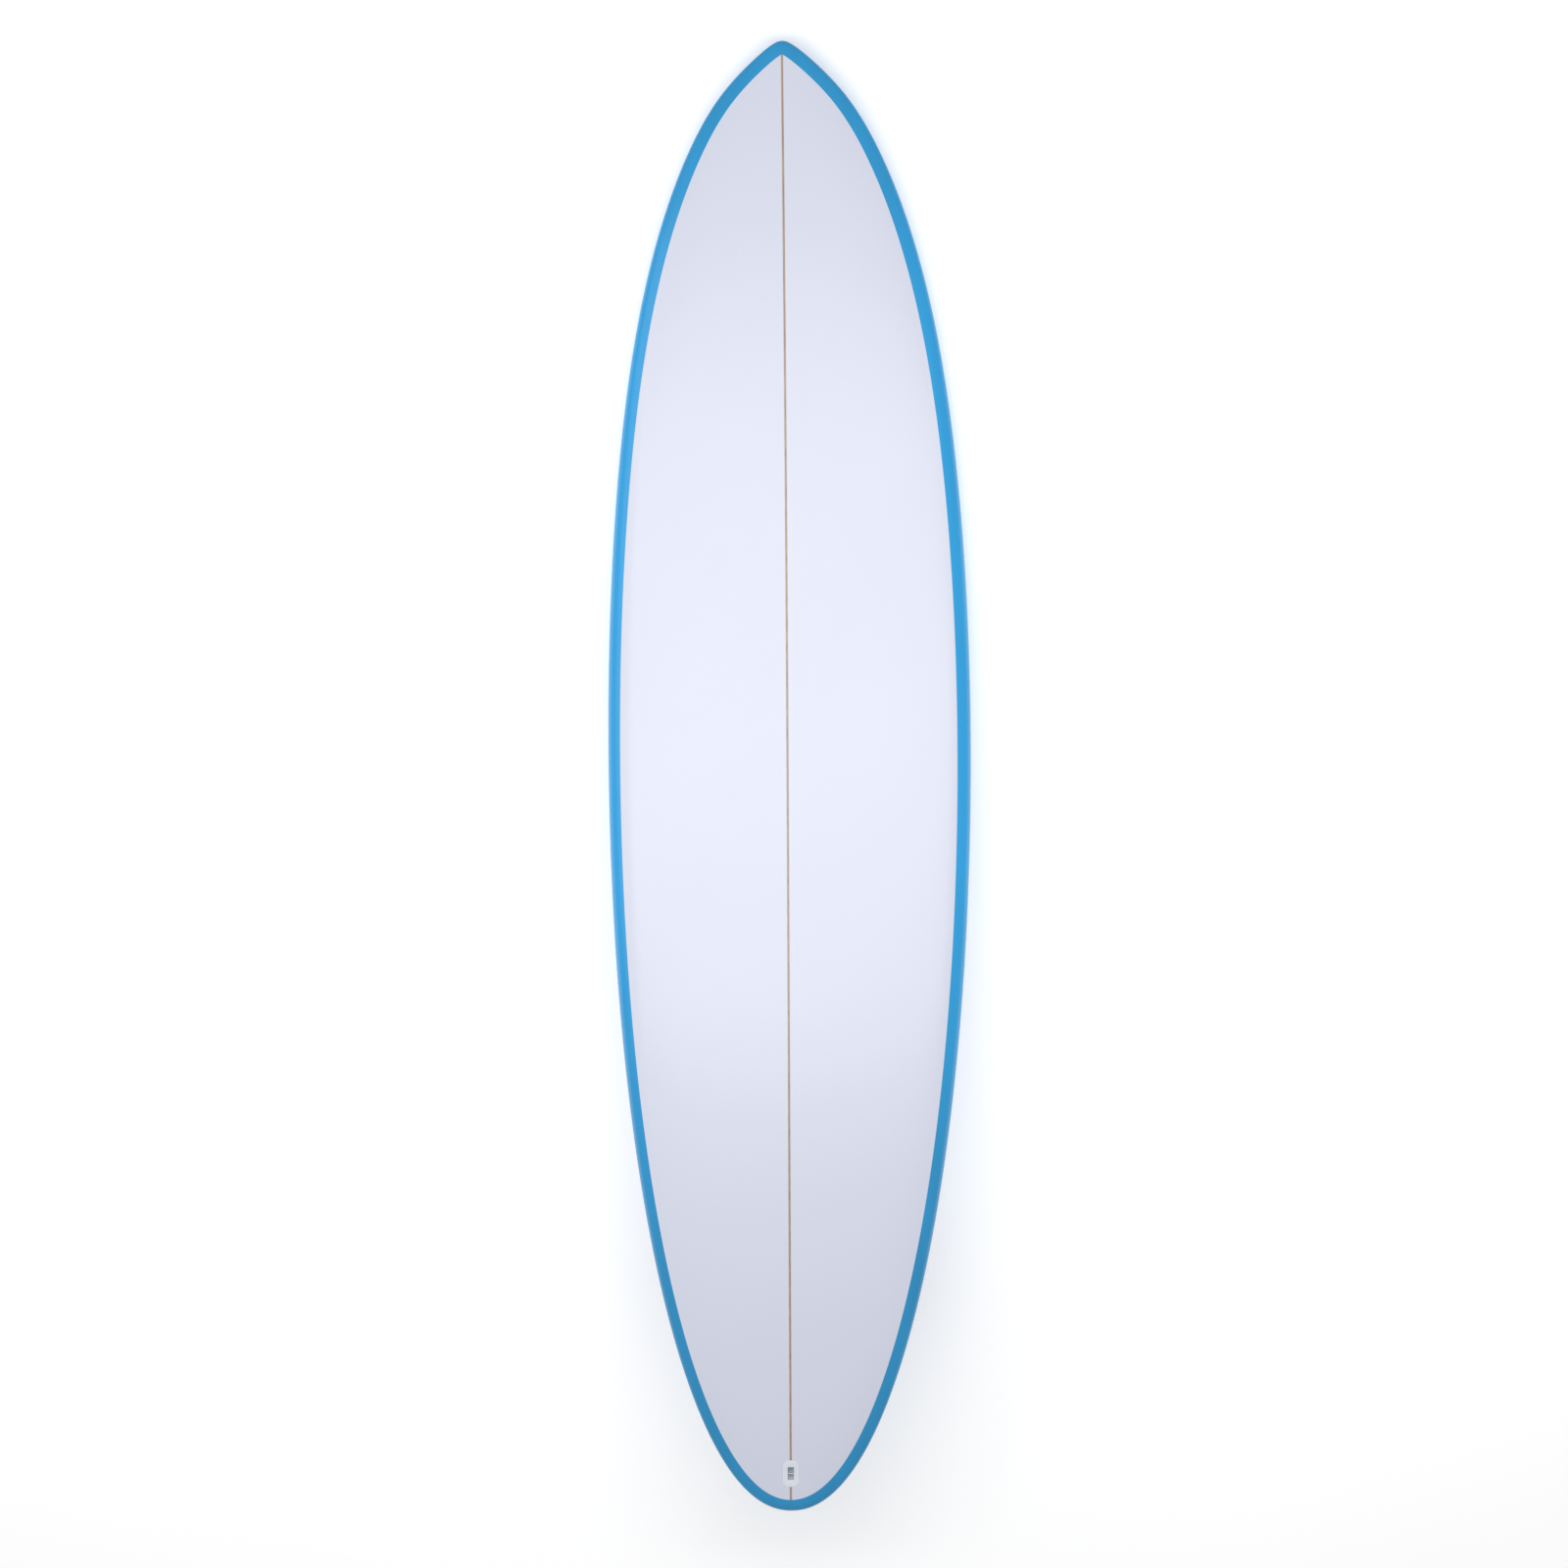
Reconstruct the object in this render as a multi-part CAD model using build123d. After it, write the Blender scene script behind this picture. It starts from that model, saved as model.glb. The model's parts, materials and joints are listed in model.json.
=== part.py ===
"""Mid-length surfboard with a round tail, a leash plug and a two-plus-one fin set, in millimetres.

The board is drawn level: X across, Y from the tail (0) to the nose, Z up, with the lowest
line of the bottom at Z 0. The last step lays the whole assembly down as it rests on a floor,
on its belly and on the tip of the centre fin, with the origin under the middle of its box.
"""

import math
import os

import numpy as np
from build123d import *

# --- Overall size -------------------------------------------------------------------------
LENGTH = 2134.0
HALF_WIDTH = 265.5
THICKNESS = 70.0

# --- Template: (distance from the tail, share of the half-width), and the two end radii ----
TEMPLATE = (
    (0.0356, 0.381),
    (0.1429, 0.701),
    (0.3093, 0.918),
    (0.5108, 1.000),
    (0.6935, 0.945),
    (0.8571, 0.727),
    (0.9288, 0.512),
    (0.9644, 0.335),
    (0.9897, 0.135),
)
TAIL_RADIUS = 78.0
NOSE_RADIUS = 9.5

# --- Side profile and cross-section --------------------------------------------------------
FLAT_SPOT = 0.45  # share of the length, from the tail, where the bottom is lowest
NOSE_ROCKER = 118.0
TAIL_ROCKER = 54.0
NOSE_FLIP = 2.4  # power of the rocker curve ahead of the flat spot
TAIL_FLIP = 2.1
TIP_THICKNESS = 14.0
FOIL_POWER = 2.5  # how long the thickness is carried towards the ends
TIP_CLOSURE = 300.0  # how bluntly the two ends are closed
APEX_TAIL = 0.30  # height of the rail's apex, as a share of the thickness
APEX_NOSE = 0.42
DECK_POWER = 3.0  # crown of the deck: 2 is an ellipse, more is flatter
BOTTOM_POWER_TAIL = 12.0  # hard, flat bottom edge at the tail
BOTTOM_POWER_NOSE = 3.5  # rolled bottom at the nose
CONCAVE = 2.5
LEAST_CLOSURE = 1e-4  # keeps a little thickness right at both tips
LEAST_HEIGHT = 0.3  # of an inset form, above and below its apex

# --- Construction --------------------------------------------------------------------------
SKIN = 1.2  # glass and resin, with its hot coat and gloss coat
BOND = 0.05  # glue line between the skin and the foam
STRINGER = 3.2
DECK_BAND_TAIL = 17.0  # how far the rail lap reaches onto the deck
DECK_BAND_NOSE = 21.0
BOTTOM_BAND = 32.0  # how far it reaches under the bottom
STATIONS = 24  # cross-sections in each loft
RIBS = 15  # points across each half section
END_ANGLE = math.radians(1.2)  # first and last station, as an angle along the template
FINE = 40  # points for each station, where a curve is only measured
SPLINE_FINE = 3  # points for each station, along the edge of the rail lap
NOSE_TRIM = 1.0  # shortest piece of that edge at its pointed end

# --- Leash plug ----------------------------------------------------------------------------
PLUG_FROM_TAIL = 55.0
PLUG_LENGTH = 38.5
PLUG_WIDTH = 24.2
PLUG_CORNER = 9.5
PLUG_FLANGE = 2.0
PLUG_RIM = 2.5  # how far the flange stands out from the cup below it
PLUG_DEPTH = 15.0
CUP_SLOT_LENGTH = 18.4
CUP_SLOT_WIDTH = 9.1
CUP_FLOOR = 2.5
CUP_SLOT_DEPTH = PLUG_DEPTH - CUP_FLOOR
CUP_SLOT_CORNER = 1.0
BAR_RADIUS = 1.6
BAR_DEPTH = 4.4
BAR_SEAT = 3.0  # how deep each end of the bar sits in the cup's wall

# --- Centre fin box ------------------------------------------------------------------------
BOX_PROUD = 3.0  # of the bottom, before the box is trimmed flush
BOX_FROM_TAIL = 290.0
BOX_LENGTH = 266.0
BOX_WIDTH = 25.0
BOX_FLOOR = 2.0
SLOT_LENGTH = 250.0
TAB_CLEARANCE = 0.25
TRACK_TOP = 4.6  # depth of the lips over the track
TRACK_WIDTH = 16.6
TRACK_END = 0.5  # wall left between the track's end and the slot's end
DROP_IN_FROM_END = 22.0
DROP_IN_LENGTH = 17.0

# --- Centre fin ----------------------------------------------------------------------------
FIN_TAB_LENGTH = 150.0
FIN_DEPTH = 165.0
FIN_THICKNESS = 9.4
FIN_SWEEP = 102.0  # how far the tip lies behind the middle of the blade's base
TAB_TOP = 0.6  # below the bottom of the board
TAB_DEPTH = 17.5
TAB_GAP = 2.5  # between the tab and the floor of the slot
BOX_DEPTH = TAB_DEPTH + TAB_GAP + BOX_FLOOR
TONGUE_LENGTH = 20.0
TONGUE_GAP = 0.3  # between the bottom of the tongue and the level of the track
TONGUE_BOTTOM = TRACK_TOP - TONGUE_GAP
PIN_RADIUS = 2.0
PIN_PLAY = 0.2  # above and below the pin in the track
TRACK_HEIGHT = 2 * (PIN_RADIUS + PIN_PLAY)
PIN_END_GAP = 0.5  # between each end of the pin and the track
PIN_LENGTH = TRACK_WIDTH - 2 * PIN_END_GAP
PIN_FROM_END = 9.0
PLATE_PLAY = 0.6  # between each side of the plate and the track
PLATE_SIDE = TRACK_WIDTH - 2 * PLATE_PLAY
PLATE_THICKNESS = 3.0
PLATE_DROP = 0.15  # between the plate and the lips over it
SCREW_RADIUS = 2.0
SCREW_LENGTH = 12.0
SCREW_HEAD_RADIUS = 3.6
SCREW_HEAD_HEIGHT = 2.2
SCREW_HEX = 2.5  # across the flats
SCREW_HEX_DEPTH = 1.4
SCREW_FROM_END = 8.0
HEAD_CLEARANCE = 0.3
HEAD_SEAT = 0.1
RUNNING = 0.05  # radial clearance of a pin or a thread in its hole

# --- Side fins and their boxes -------------------------------------------------------------
SIDE_FROM_TAIL = 345.0
SIDE_FROM_RAIL = 64.0
SIDE_CANT = 5.0
SIDE_TOE_IN = 2.0
SIDE_BASE = 96.0
SIDE_DEPTH = 92.0
SIDE_THICKNESS = 6.4
SIDE_SWEEP = 62.0
SIDE_TAB_LENGTH = 100.0
SIDE_TAB_DEPTH = 12.5
SIDE_BOX_LENGTH = 122.0
SIDE_BOX_WIDTH = 27.0
SIDE_BOX_FLOOR = 2.8
SIDE_TAB_GAP = 0.7  # between the tab and the floor of the slot
SIDE_BOX_DEPTH = SIDE_TAB_DEPTH + SIDE_TAB_GAP + SIDE_BOX_FLOOR
GRUB_RADIUS = 2.0
GRUB_LENGTH = 5.0
GRUB_TILT = 30.0
GRUB_TIP_DEPTH = 7.5
GRUB_TIP_GAP = 0.15  # between the loose screw and the tab
GRUB_CHAMFER = 0.5
GRUB_SPACING = 56.0
GRUB_HEX = 2.0
GRUB_HEX_DEPTH = 2.2
GRUB_HOLE_REACH = 1.2  # length of its hole, as a share of the box's depth

# --- Foil of every fin ---------------------------------------------------------------------
FOIL_TAPER = 0.62  # thickness lost from the base to the tip
FOIL_LEAST = 1.0  # thickness at the tip
FOIL_EDGE = 0.5  # width of the trailing edge
FOIL_POINTS = 15
FOIL_LEVELS = 16
FOIL_TIP_ANGLE = math.radians(88)  # the last section, as an angle up the blade
FOIL_SERIES = (0.2969, -0.1260, -0.3516, 0.2843, -0.1036)  # of the foil's half-thickness
FOIL_THINS_BELOW = 0.25  # chord, as a share of the base, under which the foil thins out
BLADE_ROOT = 1.0  # how deep the blade starts inside the slot's mouth
LEAD_CONTROL = ((0.28, 0.50), (-0.10, 0.98))  # shares of the base and of the depth
TRAIL_CONTROL = ((-0.30, 0.38), (-0.62, 0.80))  # of the base, then of the sweep; of the depth

SIDES = {-1: "left", 1: "right"}
ENDS = {-1: "rear", 1: "front"}


# --- Board shape ---------------------------------------------------------------------------
def smooth_curve(x_known, y_known):
    """The natural cubic spline through the given points, as a function."""
    count, gap = len(x_known), np.diff(x_known)
    matrix, right = np.eye(count), np.zeros(count)
    for i in range(1, count - 1):
        matrix[i, i - 1 : i + 2] = gap[i - 1], 2 * (gap[i - 1] + gap[i]), gap[i]
        slope_after = (y_known[i + 1] - y_known[i]) / gap[i]
        slope_before = (y_known[i] - y_known[i - 1]) / gap[i - 1]
        right[i] = 6 * (slope_after - slope_before)
    bend = np.linalg.solve(matrix, right)

    def value(x):
        x = np.asarray(x, float)
        i = np.clip(np.searchsorted(x_known, x) - 1, 0, count - 2)
        after, before = x - x_known[i], x_known[i + 1] - x
        curve = (bend[i] * before**3 + bend[i + 1] * after**3) / (6 * gap[i])
        low = (y_known[i] / gap[i] - bend[i] * gap[i] / 6) * before
        high = (y_known[i + 1] / gap[i] - bend[i + 1] * gap[i] / 6) * after
        return curve + low + high

    return value


def station_angle(y):
    """Angle along the template, 0 at the tail and pi at the nose, for a distance from the tail."""
    return np.arccos(1 - 2 * np.asarray(y, float) / LENGTH)


def template_fullness():
    """Half-width over sin(angle), a curve that stays smooth right up to both round ends."""
    angles = station_angle([LENGTH * share for share, _ in TEMPLATE])
    widths = np.array([HALF_WIDTH * share for _, share in TEMPLATE])
    ends = [math.sqrt(radius * LENGTH / 2) for radius in (TAIL_RADIUS, NOSE_RADIUS)]
    knots = np.concatenate([[0.0], angles, [math.pi]])
    return smooth_curve(knots, np.concatenate([[ends[0]], widths / np.sin(angles), [ends[1]]]))


fullness = template_fullness()


def half_width(angle):
    return np.sin(angle) * fullness(angle)


def plan_point(angle, inset=0.0):
    """Point of the template at that angle, moved inwards by the inset."""
    step = 1e-4
    along_x = (half_width(angle + step) - half_width(angle - step)) / (2 * step)
    along_y = LENGTH * np.sin(angle) / 2
    size = np.hypot(along_x, along_y)
    x = half_width(angle) - inset * along_y / size
    y = LENGTH * (1 - np.cos(angle)) / 2 + inset * along_x / size
    return x, y


def rocker(y):
    """Height of the bottom's lowest line."""
    flat = FLAT_SPOT * LENGTH
    ahead = np.clip(y - flat, 0, None) / (LENGTH - flat)
    behind = np.clip(flat - y, 0, None) / flat
    return NOSE_ROCKER * ahead**NOSE_FLIP + TAIL_ROCKER * behind**TAIL_FLIP


def heights(y, inset=0.0):
    """(height of the rail's apex, deck above it, bottom below it) at a distance from the tail."""
    share = np.clip(y / LENGTH, 0, 1)
    offset = np.abs(2 * share - 1)
    thickness = TIP_THICKNESS + (THICKNESS - TIP_THICKNESS) * (1 - offset**FOIL_POWER)
    thickness = thickness * np.sqrt(np.clip(1 - offset**TIP_CLOSURE, LEAST_CLOSURE, 1))
    below = thickness * (APEX_TAIL + (APEX_NOSE - APEX_TAIL) * share)
    return (
        rocker(y) + below,
        np.maximum(thickness - below - inset, LEAST_HEIGHT),
        np.maximum(below - inset, LEAST_HEIGHT),
    )


def deck_profile(across):
    """Share of the deck's height at a share of the half-width."""
    return np.sqrt(np.clip(1 - np.abs(across) ** DECK_POWER, 0, 1))


def bottom_power(y):
    """How square the bottom is: hard and flat at the tail, rolled at the nose."""
    share = np.clip(y / LENGTH, 0, 1)
    return BOTTOM_POWER_TAIL + (BOTTOM_POWER_NOSE - BOTTOM_POWER_TAIL) * share


def bottom_z(y, across, inset=0.0):
    """Height of the bottom surface at a station and a share of the half-width."""
    apex, _, below = heights(y, inset)
    share = np.clip(y / LENGTH, 0, 1)
    hollow = CONCAVE * np.sin(math.pi * share) ** 2 * (1 - across**2) ** 2
    profile = np.sqrt(np.clip(1 - np.abs(across) ** bottom_power(y), 0, 1))
    return apex - below * profile + hollow


def deck_z(y, across=0.0):
    apex, above, _ = heights(y)
    return apex + above * deck_profile(across)


def cross_section(angle, inset):
    """Closed wire of one station: the deck from rail to rail, then the bottom.

    Both curves leave the rail's apex upright, at the speed that the profile's formula gives.
    """
    half, y = (float(v) for v in plan_point(angle, inset))
    apex, above, below = (float(v) for v in heights(y, inset))
    across = np.sin(np.linspace(-math.pi / 2, math.pi / 2, RIBS))
    deck = [Vector(half * v, y, apex + above * float(deck_profile(v))) for v in across]
    bottom = [Vector(half * v, y, float(bottom_z(y, v, inset))) for v in across]
    bottom[0], bottom[-1] = deck[0], deck[-1]
    rise = Vector(0, 0, above * math.pi * math.sqrt(DECK_POWER / 2))
    fall = Vector(0, 0, -below * math.pi * math.sqrt(float(bottom_power(y)) / 2))
    knots = [float(v) for v in np.linspace(0, 1, RIBS)]
    edges = [
        Edge.make_spline(deck, [rise, -rise], parameters=knots, scale=False),
        Edge.make_spline(bottom, [fall, -fall], parameters=knots, scale=False),
    ]
    return Wire(edges)


def board_form(inset):
    """The whole board as one solid, taken in by the inset."""
    angles = np.linspace(END_ANGLE, math.pi - END_ANGLE, STATIONS)
    return Solid.make_loft([cross_section(a, inset) for a in angles])


def band_prism(inset_tail, inset_nose):
    """Upright block inside the template, taken in by an inset that grows from tail to nose."""
    angles = np.linspace(0, math.pi, FINE * STATIONS)
    share = (1 - np.cos(angles)) / 2
    x, y = plan_point(angles, inset_tail + (inset_nose - inset_tail) * share)
    crossed = int(np.argmax(x[1:] < 0)) + 1
    nose_y = np.interp(0.0, [x[crossed], x[crossed - 1]], [y[crossed], y[crossed - 1]])
    picks = np.unique(np.linspace(0, crossed - 1, SPLINE_FINE * STATIONS).astype(int))[1:]
    right = [(0.0, float(y[0]))] + [(float(x[i]), float(y[i])) for i in picks]
    right = [p for p in right if p[1] < nose_y - NOSE_TRIM] + [(0.0, float(nose_y))]
    right_edge = Edge.make_spline([Vector(px, py, 0) for px, py in right])
    left_edge = Edge.make_spline([Vector(-px, py, 0) for px, py in reversed(right)])
    face = Face(Wire([right_edge, left_edge]))
    tall = NOSE_ROCKER + 2 * THICKNESS
    return Pos(0, 0, -THICKNESS) * extrude(face, tall, dir=(0, 0, 1))


def half_space(side, gap=0.0):
    """Block over the left (-1) or right (1) half of the board, that far from the middle."""
    reach = 2 * LENGTH
    return Pos(side * (reach + gap) / 2, LENGTH / 2, 0) * Box(reach, reach, reach)


def stadium(length, width):
    """Flat face with round ends, long along Y."""
    return Rot(0, 0, 90) * SlotOverall(length, width)


def upright(face, low, high):
    """The face raised into a prism from one height to another."""
    return Pos(0, 0, low) * extrude(face, high - low, dir=(0, 0, 1))


def cross_hole(radius, length, y, z):
    """Cylinder across the board, along X."""
    return Pos(0, y, z) * Rot(0, 90, 0) * Cylinder(radius, length)


# --- Places of the fittings ----------------------------------------------------------------
def bottom_frame(x, y, cant=0.0, toe_in=0.0):
    """Location on the bottom at (x, y): +Z points out of the board, and +Y to the nose."""
    across, step = x / float(half_width(station_angle(y))), 1.0
    rise = float(bottom_z(y + step, across) - bottom_z(y - step, across))
    pitch = math.degrees(math.atan(rise / (2 * step)))
    turn = Rot(0, 0, toe_in) * Rot(pitch, 0, 0) * Rot(0, 180 - cant, 0)
    return Pos(x, y, float(bottom_z(y, across))) * turn


def plug_place():
    """Location on the deck's centre line: +Z points out of the board, and +Y to the nose."""
    y, step = PLUG_FROM_TAIL, 1.0
    rise = float(deck_z(y + step) - deck_z(y - step))
    return Pos(0, y, float(deck_z(y))) * Rot(math.degrees(math.atan(rise / (2 * step))), 0, 0)


def centre_place():
    return bottom_frame(0.0, BOX_FROM_TAIL)


def side_place(side):
    """Place of the left (-1) or right (1) side fin: its tip leans out and its front toes in."""
    x = side * float(half_width(station_angle(SIDE_FROM_TAIL)) - SIDE_FROM_RAIL)
    return bottom_frame(x, SIDE_FROM_TAIL, cant=side * SIDE_CANT, toe_in=side * SIDE_TOE_IN)


def screw_place():
    """Place of the centre fin's screw, on the axis of its hole at the top of the tongue."""
    return centre_place() * Pos(0, FIN_TAB_LENGTH / 2 - SCREW_FROM_END, -TAB_TOP)


def grub_place(side, end):
    """Place of the tip of a grub screw, behind (-1) or ahead (1): +Z runs out along the screw."""
    x = SIDE_THICKNESS / 2 + GRUB_TIP_GAP + GRUB_RADIUS * math.cos(math.radians(GRUB_TILT))
    spot = Pos(side * x, end * GRUB_SPACING / 2, -GRUB_TIP_DEPTH)
    return side_place(side) * spot * Rot(0, side * GRUB_TILT, 0)


# --- Leash plug ----------------------------------------------------------------------------
def plug_outline(shrink=0.0):
    width, length = PLUG_WIDTH - 2 * shrink, PLUG_LENGTH - 2 * shrink
    return RectangleRounded(width, length, PLUG_CORNER - shrink)


def plug_body(grow=0.0):
    """Outer shape of the plug, with its flange flush with the deck."""
    proud = SKIN if grow else 0.0
    flange = upright(plug_outline(-grow), -PLUG_FLANGE - grow, proud)
    return flange + upright(plug_outline(PLUG_RIM - grow), -PLUG_DEPTH - grow, -PLUG_FLANGE)


def leash_bar():
    return cross_hole(BAR_RADIUS, CUP_SLOT_WIDTH + 2 * BAR_SEAT, 0, -BAR_DEPTH)


def leash_cup():
    slot = RectangleRounded(CUP_SLOT_WIDTH, CUP_SLOT_LENGTH, CUP_SLOT_CORNER)
    return plug_body() - upright(slot, -CUP_SLOT_DEPTH, 1) - leash_bar()


# --- Fin boxes -----------------------------------------------------------------------------
def box_block(length, width, depth, grow=0.0):
    """Blank of a fin box, standing proud of the bottom before it is trimmed flush."""
    outline = stadium(length + 2 * grow, width + 2 * grow)
    return upright(outline, -depth - grow, BOX_PROUD + grow)


def centre_blank(grow=0.0):
    return box_block(BOX_LENGTH, BOX_WIDTH, BOX_DEPTH, grow)


def side_blank(grow=0.0):
    return box_block(SIDE_BOX_LENGTH, SIDE_BOX_WIDTH, SIDE_BOX_DEPTH, grow)


def centre_box():
    """Long box with a slot, a track under its lips and a drop-in opening for the plate."""
    slot = stadium(SLOT_LENGTH, FIN_THICKNESS + 2 * TAB_CLEARANCE)
    track = Box(TRACK_WIDTH, SLOT_LENGTH - 2 * TRACK_END, TRACK_HEIGHT)
    drop_in = Box(TRACK_WIDTH, DROP_IN_LENGTH, TRACK_TOP + TRACK_HEIGHT / 2 + 2 * BOX_PROUD)
    drop_y = SLOT_LENGTH / 2 - DROP_IN_FROM_END
    cut = upright(slot, BOX_FLOOR - BOX_DEPTH, 2 * BOX_PROUD)
    cut += Pos(0, 0, -TRACK_TOP - TRACK_HEIGHT / 2) * track
    cut += Pos(0, drop_y, BOX_PROUD - TRACK_TOP / 2 - TRACK_HEIGHT / 4) * drop_in
    return centre_blank() - cut


def side_box(side):
    """Short box with a slot for the tab and two slanting holes for the grub screws."""
    length = SIDE_TAB_LENGTH + 2 * TAB_CLEARANCE
    slot = stadium(length, SIDE_THICKNESS + 2 * TAB_CLEARANCE)
    box = side_blank() - upright(slot, SIDE_BOX_FLOOR - SIDE_BOX_DEPTH, 2 * BOX_PROUD)
    box = side_place(side) * box
    hole = Cylinder(GRUB_RADIUS + RUNNING, GRUB_HOLE_REACH * SIDE_BOX_DEPTH)
    hole = Pos(0, 0, SIDE_BOX_DEPTH / 2) * hole
    for end in (-1, 1):
        box -= grub_place(side, end) * hole
    return box


def hex_socket(across, top, depth):
    return upright(RegularPolygon(across / 2, 6, major_radius=False), top - depth, top + 1)


def grub_screw():
    """Headless screw with a chamfered tip and a hex socket, standing on its tip."""
    body = Pos(0, 0, GRUB_LENGTH / 2) * Cylinder(GRUB_RADIUS, GRUB_LENGTH)
    tip = body.edges().filter_by(GeomType.CIRCLE).sort_by(Axis.Z)[0]
    return chamfer(tip, GRUB_CHAMFER) - hex_socket(GRUB_HEX, GRUB_LENGTH, GRUB_HEX_DEPTH)


# --- Fins ----------------------------------------------------------------------------------
def bezier(points, count=200):
    """Points along a cubic Bezier curve."""
    t = np.linspace(0, 1, count)[:, None]
    a, b, c, d = (np.array(p, float) for p in points)
    return (1 - t) ** 3 * a + 3 * t * (1 - t) ** 2 * b + 3 * t**2 * (1 - t) * c + t**3 * d


def fin_edges(base, depth, sweep):
    """Leading and trailing edge of a raked fin, as (y, height) points from base to tip."""
    front, back, tip = (base / 2, 0), (-base / 2, 0), (-sweep, depth)
    (lead_a, lead_b), (trail_a, trail_b) = LEAD_CONTROL, TRAIL_CONTROL
    ahead = (lead_a[0] * base, lead_a[1] * depth), (lead_b[0] * base, lead_b[1] * depth)
    behind = (trail_a[0] * base, trail_a[1] * depth), (trail_b[0] * sweep, trail_b[1] * depth)
    return bezier([front, *ahead, tip]), bezier([back, *behind, tip])


def foil_half(share):
    """Half-thickness of the foil, as a share of its thickness, along the chord from its front."""
    root, *powers = FOIL_SERIES
    return 5 * (root * np.sqrt(share) + sum(p * share ** (i + 1) for i, p in enumerate(powers)))


def foil_wire(front, back, z, thickness, flat_x=None):
    """Closed wire of one foil, foiled on both sides, or flat on the side where X is flat_x."""
    share = (1 - np.cos(np.linspace(0, math.pi, FOIL_POINTS))) / 2
    half = thickness * foil_half(share) + FOIL_EDGE / 2 * share
    y = front - (front - back) * share
    if flat_x is None:
        curved, other = half, -half
    else:
        side = math.copysign(1, flat_x)
        curved, other = flat_x - side * 2 * half, np.full_like(half, flat_x)
    outer = [Vector(float(a), float(b), z) for a, b in zip(curved, y)]
    inner = [Vector(float(a), float(b), z) for a, b in zip(other, y)]
    knots = [float(v) for v in np.linspace(0, 1, FOIL_POINTS)]
    return Wire(
        [
            Edge.make_spline(outer, parameters=knots),
            Edge.make_line(outer[-1], inner[-1]),
            Edge.make_spline(inner[::-1], parameters=knots),
        ]
    )


def blade(base, depth, sweep, thickness, flat_x=None):
    """Foiled blade along +Z, from inside the slot's mouth to its tip."""
    lead, trail = fin_edges(base, depth, sweep)
    levels = depth * np.sin(np.linspace(0, FOIL_TIP_ANGLE, FOIL_LEVELS))
    wires = []
    for z in levels:
        front, back = (float(np.interp(z, e[:, 1], e[:, 0])) for e in (lead, trail))
        taper = 1 - FOIL_TAPER * z / depth
        narrow = min(1.0, (front - back) / (FOIL_THINS_BELOW * base))
        thin = max(FOIL_LEAST, thickness * taper * narrow)
        wires.append(foil_wire(front, back, float(z) - BLADE_ROOT, thin, flat_x))
    return Solid.make_loft(wires)


def pin_place():
    return Pos(0, PIN_FROM_END - FIN_TAB_LENGTH / 2, -TRACK_TOP - TRACK_HEIGHT / 2)


def centre_fin():
    """Blade and tab in one, with a tongue for the screw ahead and the pin's hole behind."""
    tab = upright(stadium(FIN_TAB_LENGTH, FIN_THICKNESS), -TAB_DEPTH, -TAB_TOP)
    notch = Box(2 * FIN_THICKNESS, TONGUE_LENGTH, TAB_DEPTH)
    tongue_y = (FIN_TAB_LENGTH - TONGUE_LENGTH) / 2
    tab -= Pos(0, tongue_y, -TONGUE_BOTTOM - TAB_DEPTH / 2) * notch
    tab -= pin_place() * Rot(0, 90, 0) * Cylinder(PIN_RADIUS + RUNNING, 2 * FIN_THICKNESS)
    base = FIN_TAB_LENGTH - TONGUE_LENGTH
    fin = tab + Pos(0, -TONGUE_LENGTH / 2, 0) * blade(base, FIN_DEPTH, FIN_SWEEP, FIN_THICKNESS)
    recess = Cylinder(SCREW_HEAD_RADIUS + HEAD_CLEARANCE, 2 * (SCREW_HEAD_HEIGHT + HEAD_SEAT))
    hole = Cylinder(SCREW_RADIUS + HEAD_CLEARANCE, 4 * TONGUE_BOTTOM)
    return centre_place() * fin - screw_place() * (recess + hole)


def fin_pin():
    return centre_place() * pin_place() * Rot(0, 90, 0) * Cylinder(PIN_RADIUS, PIN_LENGTH)


def fin_plate():
    """Square nut plate that slides along the track."""
    z = -TRACK_TOP - PLATE_DROP - PLATE_THICKNESS / 2
    plate = Box(PLATE_SIDE, PLATE_SIDE, PLATE_THICKNESS)
    plate -= Cylinder(SCREW_RADIUS + RUNNING, 2 * PLATE_THICKNESS)
    return centre_place() * Pos(0, FIN_TAB_LENGTH / 2 - SCREW_FROM_END, z) * plate


def fin_screw():
    """Socket-head screw, with the top of its head at Z 0 and its shank below."""
    head = Pos(0, 0, -SCREW_HEAD_HEIGHT / 2) * Cylinder(SCREW_HEAD_RADIUS, SCREW_HEAD_HEIGHT)
    middle = -SCREW_HEAD_HEIGHT - SCREW_LENGTH / 2
    shank = Pos(0, 0, middle) * Cylinder(SCREW_RADIUS, SCREW_LENGTH)
    return screw_place() * (head + shank - hex_socket(SCREW_HEX, 0, SCREW_HEX_DEPTH))


def side_fin(side):
    """Side fin with a flat inner face, foiled on the outside only."""
    tab = upright(stadium(SIDE_TAB_LENGTH, SIDE_THICKNESS), -SIDE_TAB_DEPTH, -TAB_TOP)
    flat_x = side * SIDE_THICKNESS / 2
    foil = blade(SIDE_BASE, SIDE_DEPTH, SIDE_SWEEP, SIDE_THICKNESS, flat_x)
    return side_place(side) * (tab + foil)


# --- Assembly ------------------------------------------------------------------------------
def by_height(solids):
    return sorted(solids, key=lambda s: s.center(CenterOf.MASS).Z)


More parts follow.
